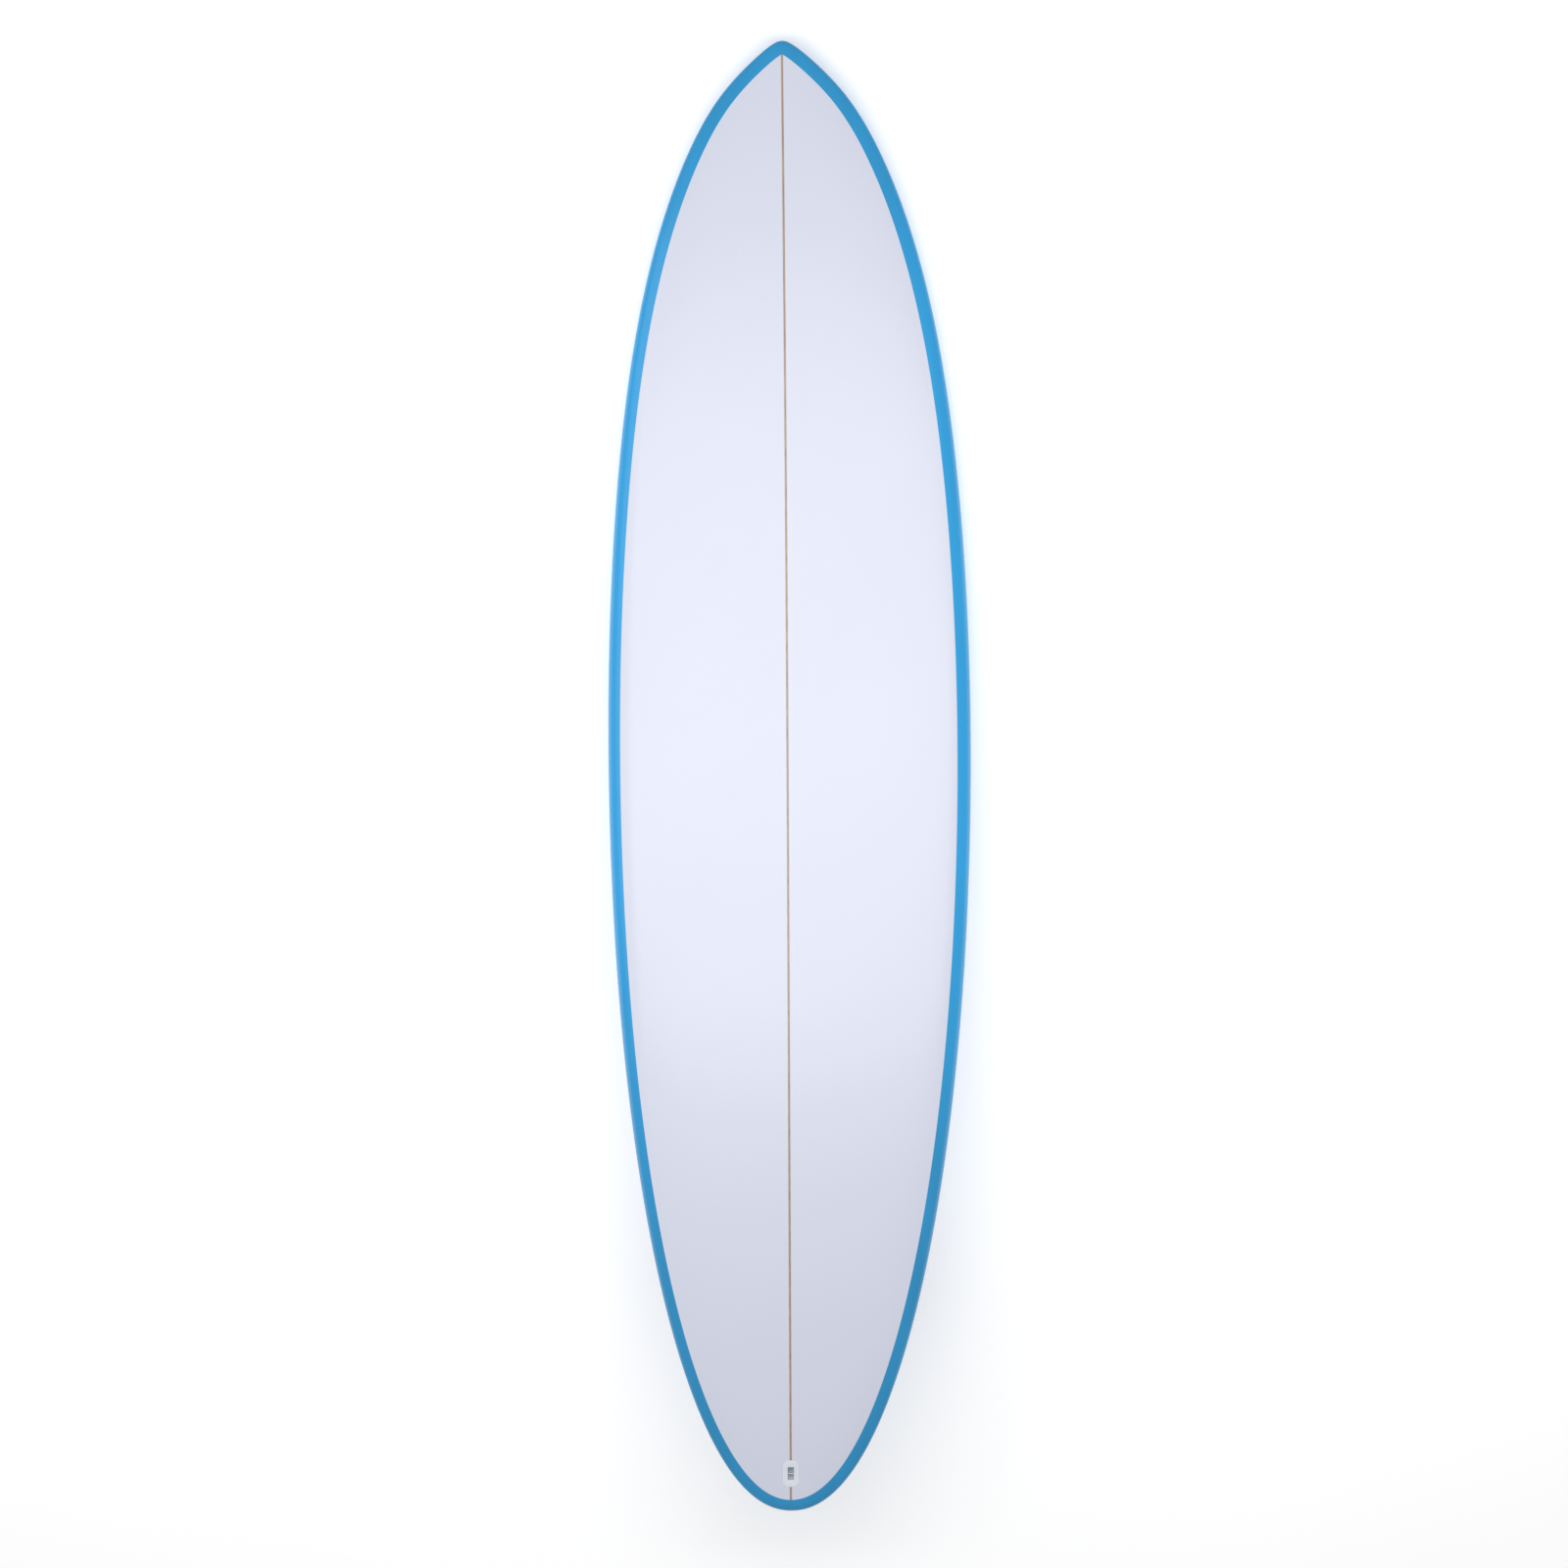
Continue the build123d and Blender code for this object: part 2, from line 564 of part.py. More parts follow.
def glued_board(outer):
    """Foam, stringer and skin, with a pocket for each fitting that is bonded in."""
    core, skin = board_form(SKIN + BOND), outer - board_form(SKIN)
    plug = plug_place() * plug_body(BOND)
    boxes = [centre_place() * centre_blank(BOND)]
    boxes += [side_place(side) * side_blank(BOND) for side in SIDES]
    core = core - plug - boxes
    deck_sheet = by_height((skin & band_prism(DECK_BAND_TAIL, DECK_BAND_NOSE)).solids())[-1]
    bottom_sheet = by_height((skin & band_prism(BOTTOM_BAND, BOTTOM_BAND)).solids())[0]
    laps = skin - deck_sheet - bottom_sheet
    pieces = {
        "stringer": core & Pos(0, LENGTH / 2, 0) * Box(STRINGER, 2 * LENGTH, 2 * LENGTH),
        "deck_laminate": deck_sheet - plug,
        "bottom_laminate": bottom_sheet - boxes,
    }
    for side, name in SIDES.items():
        pieces[f"foam_core_{name}"] = core & half_space(side, STRINGER)
        pieces[f"rail_lap_{name}"] = laps & half_space(side)
    return pieces


def surfboard():
    """Every piece by name, in the level position."""
    outer = board_form(0.0)
    pieces = glued_board(outer)
    pieces["leash_plug_cup"] = plug_place() * leash_cup()
    pieces["leash_plug_bar"] = plug_place() * leash_bar()
    pieces["centre_fin_box"] = centre_place() * centre_box() & outer
    pieces["centre_fin"] = centre_fin()
    pieces["centre_fin_pin"] = fin_pin()
    pieces["centre_fin_plate"] = fin_plate()
    pieces["centre_fin_screw"] = fin_screw()
    for side, name in SIDES.items():
        pieces[f"side_fin_box_{name}"] = side_box(side) & outer
        pieces[f"side_fin_{name}"] = side_fin(side)
        for end, place in ENDS.items():
            pieces[f"{place}_grub_screw_{name}"] = grub_place(side, end) * grub_screw()
    return pieces


def surface_points():
    """Points all over the deck and the bottom, as arrays of y and z."""
    y = plan_point(np.linspace(END_ANGLE, math.pi - END_ANGLE, FINE * STATIONS))[1]
    across = np.sin(np.linspace(0, math.pi / 2, 8 * RIBS))
    heights_found = [deck_z(y, a) for a in across] + [bottom_z(y, a) for a in across]
    return np.tile(y, len(heights_found)), np.concatenate(heights_found)


def rest_place():
    """Location that lays the level board down on its belly and the tip of the centre fin."""
    board_y, board_z = surface_points()
    tip = centre_fin().vertices()
    tip_y, tip_z = np.array([v.Y for v in tip]), np.array([v.Z for v in tip])
    belly = board_y > LENGTH / 2
    low, high = 0.0, math.pi / 6
    while high - low > 1e-9:
        pitch = (low + high) / 2
        belly_low = np.min((board_z * math.cos(pitch) - board_y * math.sin(pitch))[belly])
        tip_low = np.min(tip_z * math.cos(pitch) - tip_y * math.sin(pitch))
        low, high = (pitch, high) if belly_low > tip_low else (low, pitch)
    reach = board_y * math.cos(pitch) + board_z * math.sin(pitch)
    middle = (reach.min() + reach.max()) / 2
    return Pos(0, -middle, -tip_low) * Rot(-math.degrees(pitch), 0, 0)


def main():
    os.makedirs("parts", exist_ok=True)
    rest = rest_place()
    for name, shape in surfboard().items():
        export_step(rest * shape, f"parts/{name}.step")


if __name__ == "__main__":
    main()
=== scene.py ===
"""Studio scene of a mid-length surfboard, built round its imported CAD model.

The skin is worked out again as fine smooth surfaces from the board's own formulas, the leash
plug has softened edges, the boxes, fins and screws are smooth-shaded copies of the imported
meshes, and every piece gets a procedural finish.
All lengths are in metres. The board's formulas work in the level position: X across, Y from
the tail to the nose and Z up. rest_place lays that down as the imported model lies.
"""

from __future__ import annotations

import json
import logging
import math
import sys
from dataclasses import dataclass, field
from enum import Enum
from typing import Any, Sequence

import bmesh
import bpy
import numpy as np
from mathutils import Matrix, Vector

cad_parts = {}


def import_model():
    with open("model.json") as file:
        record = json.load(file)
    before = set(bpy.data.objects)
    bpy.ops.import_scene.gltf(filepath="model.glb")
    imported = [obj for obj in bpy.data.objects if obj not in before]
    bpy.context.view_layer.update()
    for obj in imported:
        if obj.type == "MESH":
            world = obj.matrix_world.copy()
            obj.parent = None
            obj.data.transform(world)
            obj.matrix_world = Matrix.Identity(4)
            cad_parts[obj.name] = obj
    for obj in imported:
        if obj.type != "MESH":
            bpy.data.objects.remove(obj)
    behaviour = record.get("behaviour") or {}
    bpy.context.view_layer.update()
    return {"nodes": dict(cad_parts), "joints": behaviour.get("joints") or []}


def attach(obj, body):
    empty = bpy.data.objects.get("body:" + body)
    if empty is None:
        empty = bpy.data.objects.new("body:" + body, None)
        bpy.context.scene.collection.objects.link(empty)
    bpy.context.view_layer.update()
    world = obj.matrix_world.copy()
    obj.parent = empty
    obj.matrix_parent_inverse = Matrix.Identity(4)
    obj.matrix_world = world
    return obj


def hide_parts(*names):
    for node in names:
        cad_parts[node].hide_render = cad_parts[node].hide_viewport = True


LOG = logging.getLogger("surfboard")
MM = 0.001
Array = np.ndarray
Colour = tuple[float, float, float]


# --- Shader maths --------------------------------------------------------------------------
class Wire:
    """One number flowing through a material's nodes, with Python's operators for its maths."""

    def __init__(self, recipe: Recipe, socket: bpy.types.NodeSocket) -> None:
        """Wraps a socket.

        Args:
            recipe: the recipe whose node tree the socket is in.
            socket: the output socket that carries the number.
        """
        self.recipe = recipe
        self.socket = socket

    def apply(self, operation: str, *others: Wire | float) -> Wire:
        """Adds one Math node.

        Args:
            operation: the Math node's operation.
            others: the values or wires of its further sockets.

        Returns:
            The wire of the node's result.
        """
        values = dict(enumerate((self, *others)))
        return self.recipe.add("ShaderNodeMath", {"operation": operation}, values)

    def __add__(self, other: Wire | float) -> Wire:
        """Returns self + other."""
        return self.apply("ADD", other)

    def __mul__(self, other: Wire | float) -> Wire:
        """Returns self * other."""
        return self.apply("MULTIPLY", other)

    def __sub__(self, other: Wire | float) -> Wire:
        """Returns self - other."""
        return self.apply("SUBTRACT", other)

    def __rsub__(self, other: float) -> Wire:
        """Returns other - self."""
        return (self * -1.0) + other

    def __abs__(self) -> Wire:
        """Returns the size of self."""
        return self.apply("ABSOLUTE")

    __radd__ = __add__
    __rmul__ = __mul__

    def sine(self) -> Wire:
        """Returns the sine of self, in radians."""
        return self.apply("SINE")

    def ramp(self, low: float, high: float) -> Wire:
        """Climbs smoothly from 0 at low to 1 at high.

        Args:
            low: where the result is 0.
            high: where the result is 1, below low for a falling ramp.

        Returns:
            The wire of the smooth step.
        """
        settings = {"interpolation_type": "SMOOTHSTEP", "clamp": True}
        flip = high < low
        ends = (high, low) if flip else (low, high)
        values = {0: self, 1: ends[0], 2: ends[1], 3: float(flip), 4: float(not flip)}
        return self.recipe.add("ShaderNodeMapRange", settings, values)


class Recipe:
    """A material under construction: its node tree, its Principled shader and its inputs."""

    def __init__(self, name: str) -> None:
        """Makes an empty material.

        Args:
            name: the material's name.
        """
        self.material = bpy.data.materials.new(name)
        self.material.use_nodes = True
        self.tree = self.material.node_tree
        self.shader = self.tree.nodes["Principled BSDF"]

    def add(
        self, kind: str, settings: dict[str, Any], values: dict[Any, Any], out: Any = 0
    ) -> Wire:
        """Adds a node.

        Args:
            kind: the node's type.
            settings: the node's own settings, set before its sockets.
            values: numbers, colours or wires, by socket name or number.
            out: the name or number of the output that is returned.

        Returns:
            The wire of that output.
        """
        node = self.tree.nodes.new(kind)
        for key, value in settings.items():
            setattr(node, key, value)
        for key, value in values.items():
            self.feed(node.inputs[key], value)
        return Wire(self, node.outputs[out])

    def feed(self, socket: bpy.types.NodeSocket, value: Any) -> None:
        """Puts a number, a colour or a wire into a socket.

        Args:
            socket: the input socket.
            value: what goes in.
        """
        if isinstance(value, Wire):
            self.tree.links.new(value.socket, socket)
        elif isinstance(value, tuple) and len(value) == 3 and socket.type == "RGBA":
            socket.default_value = (*value, 1.0)
        else:
            socket.default_value = value

    def places(self) -> tuple[Wire, Wire, Wire, Wire]:
        """Returns the point itself and its x, y and z, in the object's own frame."""
        point = self.add("ShaderNodeTexCoord", {}, {}, "Object")
        split = [self.add("ShaderNodeSeparateXYZ", {}, {0: point}, axis) for axis in "XYZ"]
        return (point, *split)

    def stretched(self, point: Wire, scale: tuple[float, float, float]) -> Wire:
        """Returns the point with each axis scaled, to stretch a pattern."""
        return self.add("ShaderNodeMapping", {}, {"Vector": point, "Scale": scale})

    def noise(self, point: Wire, scale: float, detail: float = 2.0) -> Wire:
        """Returns soft noise around 0.5, with that many cells to a metre."""
        values = {"Vector": point, "Scale": scale, "Detail": detail}
        return self.add("ShaderNodeTexNoise", {}, values, "Fac")

    def cells(self, point: Wire, scale: float) -> Wire:
        """Returns the distance to the nearest of scattered points, with that many to a metre."""
        return self.add("ShaderNodeTexVoronoi", {}, {"Vector": point, "Scale": scale}, "Distance")

    def blend(self, share: Wire | float, low: Wire | Colour, high: Wire | Colour) -> Wire:
        """Mixes two colours.

        Args:
            share: 0 for the first colour and 1 for the second.
            low: the first colour.
            high: the second colour.

        Returns:
            The wire of the mixed colour.
        """
        node = self.tree.nodes.new("ShaderNodeMix")
        node.data_type = "RGBA"
        self.feed(node.inputs["Factor"], share)
        self.feed(next(s for s in node.inputs if s.name == "A" and s.type == "RGBA"), low)
        self.feed(next(s for s in node.inputs if s.name == "B" and s.type == "RGBA"), high)
        return Wire(self, next(s for s in node.outputs if s.type == "RGBA"))

    def bump(self, height: Wire, distance: float) -> None:
        """Raises the surface's normal by a height in 0 to 1 times a distance in metres."""
        normal = self.add("ShaderNodeBump", {}, {"Height": height, "Distance": distance}, "Normal")
        self.feed(self.shader.inputs["Normal"], normal)

    def finish(self, **values: Any) -> bpy.types.Material:
        """Sets the Principled shader's sockets, by name with spaces as underscores.

        Args:
            values: numbers, colours or wires.

        Returns:
            The finished material.
        """
        for key, value in values.items():
            self.feed(self.shader.inputs[key.replace("_", " ")], value)
        return self.material


# --- Finishes ------------------------------------------------------------------------------
@dataclass(frozen=True)
class ClearGlass:
    """White foam seen through clear glass and resin, with the stringer's line down the middle."""

    name: str = "clear_glass_over_foam"
    foam: Colour = (0.712, 0.742, 0.865)
    foam_dim: Colour = (0.672, 0.700, 0.820)
    wood: Colour = (0.46, 0.335, 0.25)
    wood_dark: Colour = (0.33, 0.225, 0.16)
    glue: Colour = (0.60, 0.60, 0.62)
    line: float = 1.6 * MM
    glue_line: float = 3.4 * MM
    thread: float = 0.7 * MM
    roughness: float = 0.26

    def material(self) -> bpy.types.Material:
        """Returns the material: mottled foam, a faint weave, and a fine-grained wood line."""
        r = Recipe(self.name)
        point, x, y, _ = r.places()
        cloudy = r.noise(point, 3.0, 4.0)
        speck = r.noise(point, 700.0, 1.0)
        shade = (cloudy - 0.5) * 0.7 + (speck - 0.5) * 0.25 + 0.4
        foam = r.blend(shade.ramp(0.0, 1.0), self.foam, self.foam_dim)
        smudge = r.noise(point, 9.0, 3.0).ramp(0.60, 0.90) * 0.5
        foam = r.blend(smudge, foam, self.foam_dim)
        away = abs(x)
        glued = away.ramp(self.glue_line, self.line) * 0.30
        foam = r.blend(glued, foam, self.glue)
        grain = r.noise(r.stretched(point, (900.0, 6.0, 900.0)), 1.0, 3.0)
        wood = r.blend(grain.ramp(0.3, 0.7), self.wood, self.wood_dark)
        colour = r.blend(away.ramp(self.line * 1.12, self.line * 0.78), foam, wood)
        turn = 2 * math.pi / self.thread
        weave = (x * turn).sine() * (y * turn).sine() * 0.5 + 0.5
        r.bump(weave * 0.6 + speck * 0.4, 0.006 * MM)
        gloss = self.roughness + (cloudy - 0.5) * 0.08
        return r.finish(Base_Color=colour, Roughness=gloss, Coat_Weight=0.35, Coat_Roughness=0.16)


@dataclass(frozen=True)
class BlueLap:
    """Opaque blue resin, with soft streaks of pigment along the rail, painted shade towards both
    ends and a gloss coat.
    """

    name: str = "blue_lap"
    blue: Colour = (0.016, 0.370, 0.780)
    deep: Colour = (0.010, 0.265, 0.540)
    roughness: float = 0.22
    # where the painted shade starts and where it is full, at the tail and at the nose
    tail_shade: tuple[float, float] = (-0.15, -0.80)
    nose_shade: tuple[float, float] = (0.55, 1.05)

    def material(self) -> bpy.types.Material:
        """Returns the material: streaks stretched along Y, and fine sanding marks.

        It is painted darker towards both ends, more at the tail, as painted shade.
        """
        r = Recipe(self.name)
        point, _, y, _ = r.places()
        streak = r.noise(r.stretched(point, (26.0, 3.0, 26.0)), 1.0, 4.0)
        fine = r.noise(r.stretched(point, (900.0, 90.0, 900.0)), 1.0, 1.0)
        # painted shade: the blue darkens towards the tail and, less, towards the nose
        thick = y.ramp(*self.tail_shade) + y.ramp(*self.nose_shade) * 0.7
        # the deeper blue serves both the real pigment streaks and the painted shade at the ends
        shade = thick * 0.75 + streak.ramp(0.30, 0.75) * 0.25
        colour = r.blend(shade, self.blue, self.deep)
        r.bump(fine, 0.004 * MM)
        gloss = self.roughness + (fine - 0.5) * 0.06
        return r.finish(Base_Color=colour, Roughness=gloss, Coat_Weight=0.45, Coat_Roughness=0.12)


@dataclass(frozen=True)
class Moulded:
    """Moulded plastic with a fine spark-eroded grain."""

    name: str
    colour: Colour
    shadow: Colour
    roughness: float = 0.42
    grain: float = 0.012 * MM

    def material(self) -> bpy.types.Material:
        """Returns the material: slight colour change, and a fine grain in bump and roughness."""
        r = Recipe(self.name)
        point, *_ = r.places()
        pebble = r.noise(point, 1400.0, 2.0)
        tone = r.noise(point, 40.0, 2.0)
        colour = r.blend(tone.ramp(0.3, 0.7), self.colour, self.shadow)
        r.bump(pebble, self.grain)
        return r.finish(Base_Color=colour, Roughness=self.roughness + (pebble - 0.5) * 0.12)


@dataclass(frozen=True)
class FinGlass:
    """Fin panel of layered glass cloth in smoke-grey resin, sanded and coated."""

    name: str = "fin_glass"
    resin: Colour = (0.030, 0.036, 0.045)
    cloth: Colour = (0.060, 0.070, 0.085)
    thread: float = 1.6 * MM

    def material(self) -> bpy.types.Material:
        """Returns the material: a plain weave along Y and Z, deep under a smooth coat."""
        r = Recipe(self.name)
        point, _, y, z = r.places()
        turn = 2 * math.pi / self.thread
        weave = (y * turn).sine() * (z * turn).sine() * 0.5 + 0.5
        cloud = r.noise(point, 30.0, 3.0)
        colour = r.blend(weave * 0.7 + cloud * 0.3, self.resin, self.cloth)
        r.bump(weave, 0.004 * MM)
        gloss = 0.24 + cloud * 0.10
        return r.finish(Base_Color=colour, Roughness=gloss, Coat_Weight=0.5, Coat_Roughness=0.08)


@dataclass(frozen=True)
class Metal:
    """Machined metal with fine brushing."""

    name: str
    colour: Colour
    dull: Colour
    roughness: float = 0.30

    def material(self) -> bpy.types.Material:
        """Returns the material: brushing along Y, with slightly dull patches."""
        r = Recipe(self.name)
        point, *_ = r.places()
        brushed = r.noise(r.stretched(point, (3000.0, 300.0, 3000.0)), 1.0, 2.0)
        patch = r.noise(point, 260.0, 2.0)
        colour = r.blend(patch.ramp(0.35, 0.7), self.colour, self.dull)
        r.bump(brushed, 0.003 * MM)
        gloss = self.roughness + (patch - 0.5) * 0.16
        return r.finish(Base_Color=colour, Roughness=gloss, Metallic=1.0)


@dataclass(frozen=True)
class CellFoam:
    """Shaped closed-cell foam, with small open cells and long sanding strokes."""

    name: str = "shaped_foam"
    foam: Colour = (0.80, 0.79, 0.74)
    cell: Colour = (0.66, 0.65, 0.60)

    def material(self) -> bpy.types.Material:
        """Returns the material: cells from scattered points, and noise stretched along Y."""
        r = Recipe(self.name)
        point, *_ = r.places()
        cell = r.cells(point, 900.0)
        stroke = r.noise(r.stretched(point, (300.0, 12.0, 300.0)), 1.0, 2.0)
        colour = r.blend(cell.ramp(0.45, 0.0), self.foam, self.cell)
        r.bump(cell * 0.7 + stroke * 0.3, 0.08 * MM)
        return r.finish(Base_Color=colour, Roughness=0.9)


@dataclass(frozen=True)
class StringerWood:
    """Pale basswood with its grain along the board."""

    name: str = "stringer_wood"
    light: Colour = (0.52, 0.36, 0.21)
    dark: Colour = (0.36, 0.23, 0.125)

    def material(self) -> bpy.types.Material:
        """Returns the material: noise stretched along Y as grain, in colour and in bump."""
        r = Recipe(self.name)
        point, *_ = r.places()
        grain = r.noise(r.stretched(point, (700.0, 8.0, 220.0)), 1.0, 4.0)
        colour = r.blend(grain.ramp(0.3, 0.7), self.light, self.dark)
        r.bump(grain, 0.05 * MM)
        return r.finish(Base_Color=colour, Roughness=0.62)


WHITE_PLUG = Moulded("plug_plastic", (0.80, 0.83, 0.90), (0.76, 0.79, 0.87), 0.34)
WHITE_BOX = Moulded("box_plastic", (0.74, 0.75, 0.77), (0.70, 0.71, 0.74))
STAINLESS = Metal("stainless_steel", (0.62, 0.63, 0.65), (0.50, 0.51, 0.53))
BRASS_ROD = Metal("brass_rod", (0.80, 0.62, 0.28), (0.66, 0.48, 0.20))


# --- Board shape ---------------------------------------------------------------------------
def smooth_curve(x_known: Array, y_known: Array, x: Array) -> Array:
    """Natural cubic spline through known points.

    Each second slope m solves gap*m[i-1] + 2*(gap + next gap)*m[i] + next gap*m[i+1] = six
    times the change of slope, and a span is the cubic with those second slopes at its ends.

    Args:
        x_known: rising places of the known points.
        y_known: their values.
        x: the places that are asked for.

    Returns:
        The spline's value at each x.
    """
    count, gap = len(x_known), np.diff(x_known)
    slope = np.diff(y_known) / gap
    matrix = np.eye(count)
    middle = np.arange(1, count - 1)
    matrix[middle, middle - 1] = gap[:-1]
    matrix[middle, middle] = 2 * (gap[:-1] + gap[1:])
    matrix[middle, middle + 1] = gap[1:]
    right = np.concatenate([[0.0], 6 * np.diff(slope), [0.0]])
    bend = np.linalg.solve(matrix, right)
    i = np.clip(np.searchsorted(x_known, x) - 1, 0, count - 2)
    after, before = x - x_known[i], x_known[i + 1] - x
    curve = (bend[i] * before**3 + bend[i + 1] * after**3) / (6 * gap[i])
    low = (y_known[i] / gap[i] - bend[i] * gap[i] / 6) * before
    high = (y_known[i + 1] / gap[i] - bend[i + 1] * gap[i] / 6) * after
    return curve + low + high


@dataclass(frozen=True)
class BoardShape:
    """The board's outline, rocker, foil and cross-section, as the CAD model has them."""

    length: float = 2134 * MM
    half_width: float = 265.5 * MM
    thickness: float = 70 * MM
    template: tuple[tuple[float, float], ...] = (
        (0.0356, 0.381),
        (0.1429, 0.701),
        (0.3093, 0.918),
        (0.5108, 1.000),
        (0.6935, 0.945),
        (0.8571, 0.727),
        (0.9288, 0.512),
        (0.9644, 0.335),
        (0.9897, 0.135),
    )
    tail_radius: float = 78 * MM
    nose_radius: float = 9.5 * MM
    flat_spot: float = 0.45
    nose_rocker: float = 118 * MM
    tail_rocker: float = 54 * MM
    nose_flip: float = 2.4
    tail_flip: float = 2.1
    tip_thickness: float = 14 * MM
    foil_power: float = 2.5
    tip_closure: float = 300.0
    apex_tail: float = 0.30
    apex_nose: float = 0.42
    deck_power: float = 3.0
    bottom_power_tail: float = 12.0
    bottom_power_nose: float = 3.5
    concave: float = 2.5 * MM

    def outline(self, angle: Array) -> Array:
        """Half-width at an angle along the outline, 0 at the tail and pi at the nose.

        It is sin(angle) times a spline, so both ends are round, with the stated radii.
        """
        share, width = np.array(self.template).T
        known = np.arccos(1 - 2 * share)
        ends = np.sqrt(np.array([self.tail_radius, self.nose_radius]) * self.length / 2)
        full = np.concatenate([[ends[0]], self.half_width * width / np.sin(known), [ends[1]]])
        knots = np.concatenate([[0.0], known, [math.pi]])
        return np.sin(angle) * smooth_curve(knots, full, angle)

    def half_at(self, y: Array) -> Array:
        """Half-width at a distance from the tail."""
        return self.outline(np.arccos(np.clip(1 - 2 * y / self.length, -1, 1)))

    def inset_outline(self, tail: float, nose: float) -> tuple[Array, Array]:
        """The outline moved inwards along its normal, up to where it meets the middle line.

        Args:
            tail: the inset at the tail.
            nose: the inset at the nose. It changes evenly in between.

        Returns:
            Distances from the tail and half-widths, both ending at half-width 0.
        """
        angle = np.linspace(0, math.pi, 6001)
        step = 1e-4
        share = (1 - np.cos(angle)) / 2
        slope_x = (self.outline(angle + step) - self.outline(angle - step)) / (2 * step)
        slope_y = self.length * np.sin(angle) / 2
        size = np.hypot(slope_x, slope_y)
        inset = tail + (nose - tail) * share
        x = self.outline(angle) - inset * slope_y / size
        y = self.length * share + inset * slope_x / size
        last = int(np.argmax(x[1:] < 0)) + 1
        cross = x[last - 1] / (x[last - 1] - x[last])
        y_end = y[last - 1] + cross * (y[last] - y[last - 1])
        return np.append(y[:last], y_end), np.append(x[:last], 0.0)

    def rocker(self, y: Array) -> Array:
        """Height of the bottom's lowest line, a power curve each way from the flat spot."""
        flat = self.flat_spot * self.length
        ahead = np.clip(y - flat, 0, None) / (self.length - flat)
        behind = np.clip(flat - y, 0, None) / flat
        return self.nose_rocker * ahead**self.nose_flip + self.tail_rocker * behind**self.tail_flip

    def heights(self, y: Array) -> tuple[Array, Array, Array]:
        """Height of the rail's apex, and the deck above and the bottom below it."""
        share = np.clip(y / self.length, 0, 1)
        offset = np.abs(2 * share - 1)
        extra = (self.thickness - self.tip_thickness) * (1 - offset**self.foil_power)
        full = self.tip_thickness + extra
        full = full * np.sqrt(np.clip(1 - offset**self.tip_closure, 0, 1))
        below = full * (self.apex_tail + (self.apex_nose - self.apex_tail) * share)
        return self.rocker(y) + below, full - below, below

    def deck_z(self, y: Array, across: Array) -> Array:
        """Height of the deck at a share of the half-width, a superellipse of the deck's power."""
        apex, above, _ = self.heights(y)
        return apex + above * np.sqrt(np.clip(1 - np.abs(across) ** self.deck_power, 0, 1))

    def bottom_z(self, y: Array, across: Array) -> Array:
        """Height of the bottom, a squarer superellipse with a shallow hollow in the middle."""
        apex, _, below = self.heights(y)
        share = np.clip(y / self.length, 0, 1)
        power = self.bottom_power_tail + (self.bottom_power_nose - self.bottom_power_tail) * share
        profile = np.sqrt(np.clip(1 - np.abs(across) ** power, 0, 1))
        hollow = self.concave * np.sin(math.pi * share) ** 2 * (1 - across**2) ** 2
        return apex - below * profile + hollow

    def deck_frame(self, y: float) -> Array:
        """Place on the deck's middle line: +Z out of the board, +Y to the nose."""
        step = 1 * MM
        rise = float(self.deck_z(y + step, 0.0) - self.deck_z(y - step, 0.0))
        spot = shift(0, y, float(self.deck_z(y, 0.0)))
        return spot @ turn("x", math.degrees(math.atan(rise / (2 * step))))

    def bottom_frame(self, x: float, y: float, cant: float = 0.0, toe_in: float = 0.0) -> Array:
        """Place on the bottom: +Z out of the board, +Y to the nose.

        Args:
            x: distance from the middle line.
            y: distance from the tail.
            cant: lean about Y, in degrees.
            toe_in: turn about the vertical, in degrees.

        Returns:
            The place as a 4 x 4 matrix.
        """
        step = 1 * MM
        across = x / float(self.half_at(y))
        rise = float(self.bottom_z(y + step, across) - self.bottom_z(y - step, across))
        pitch = math.degrees(math.atan(rise / (2 * step)))
        spot = shift(x, y, float(self.bottom_z(y, across)))
        return spot @ turn("z", toe_in) @ turn("x", pitch) @ turn("y", 180 - cant)


# --- Places --------------------------------------------------------------------------------
def shift(x: float, y: float, z: float) -> Array:
    """Returns a 4 x 4 matrix that moves by x, y and z."""
    matrix = np.eye(4)
    matrix[:3, 3] = x, y, z
    return matrix


def turn(axis: str, degrees: float) -> Array:
    """Returns a 4 x 4 matrix that turns about the x, y or z axis."""
    one, two = {"x": (1, 2), "y": (2, 0), "z": (0, 1)}[axis]
    cos, sin = math.cos(math.radians(degrees)), math.sin(math.radians(degrees))
    matrix = np.eye(4)
    matrix[one, one], matrix[one, two], matrix[two, one], matrix[two, two] = cos, -sin, sin, cos
    return matrix


def carry(place: Array, points: Array) -> Array:
    """Returns the points, of any array shape ending in 3, moved by a 4 x 4 matrix."""
    return points @ place[:3, :3].T + place[:3, 3]


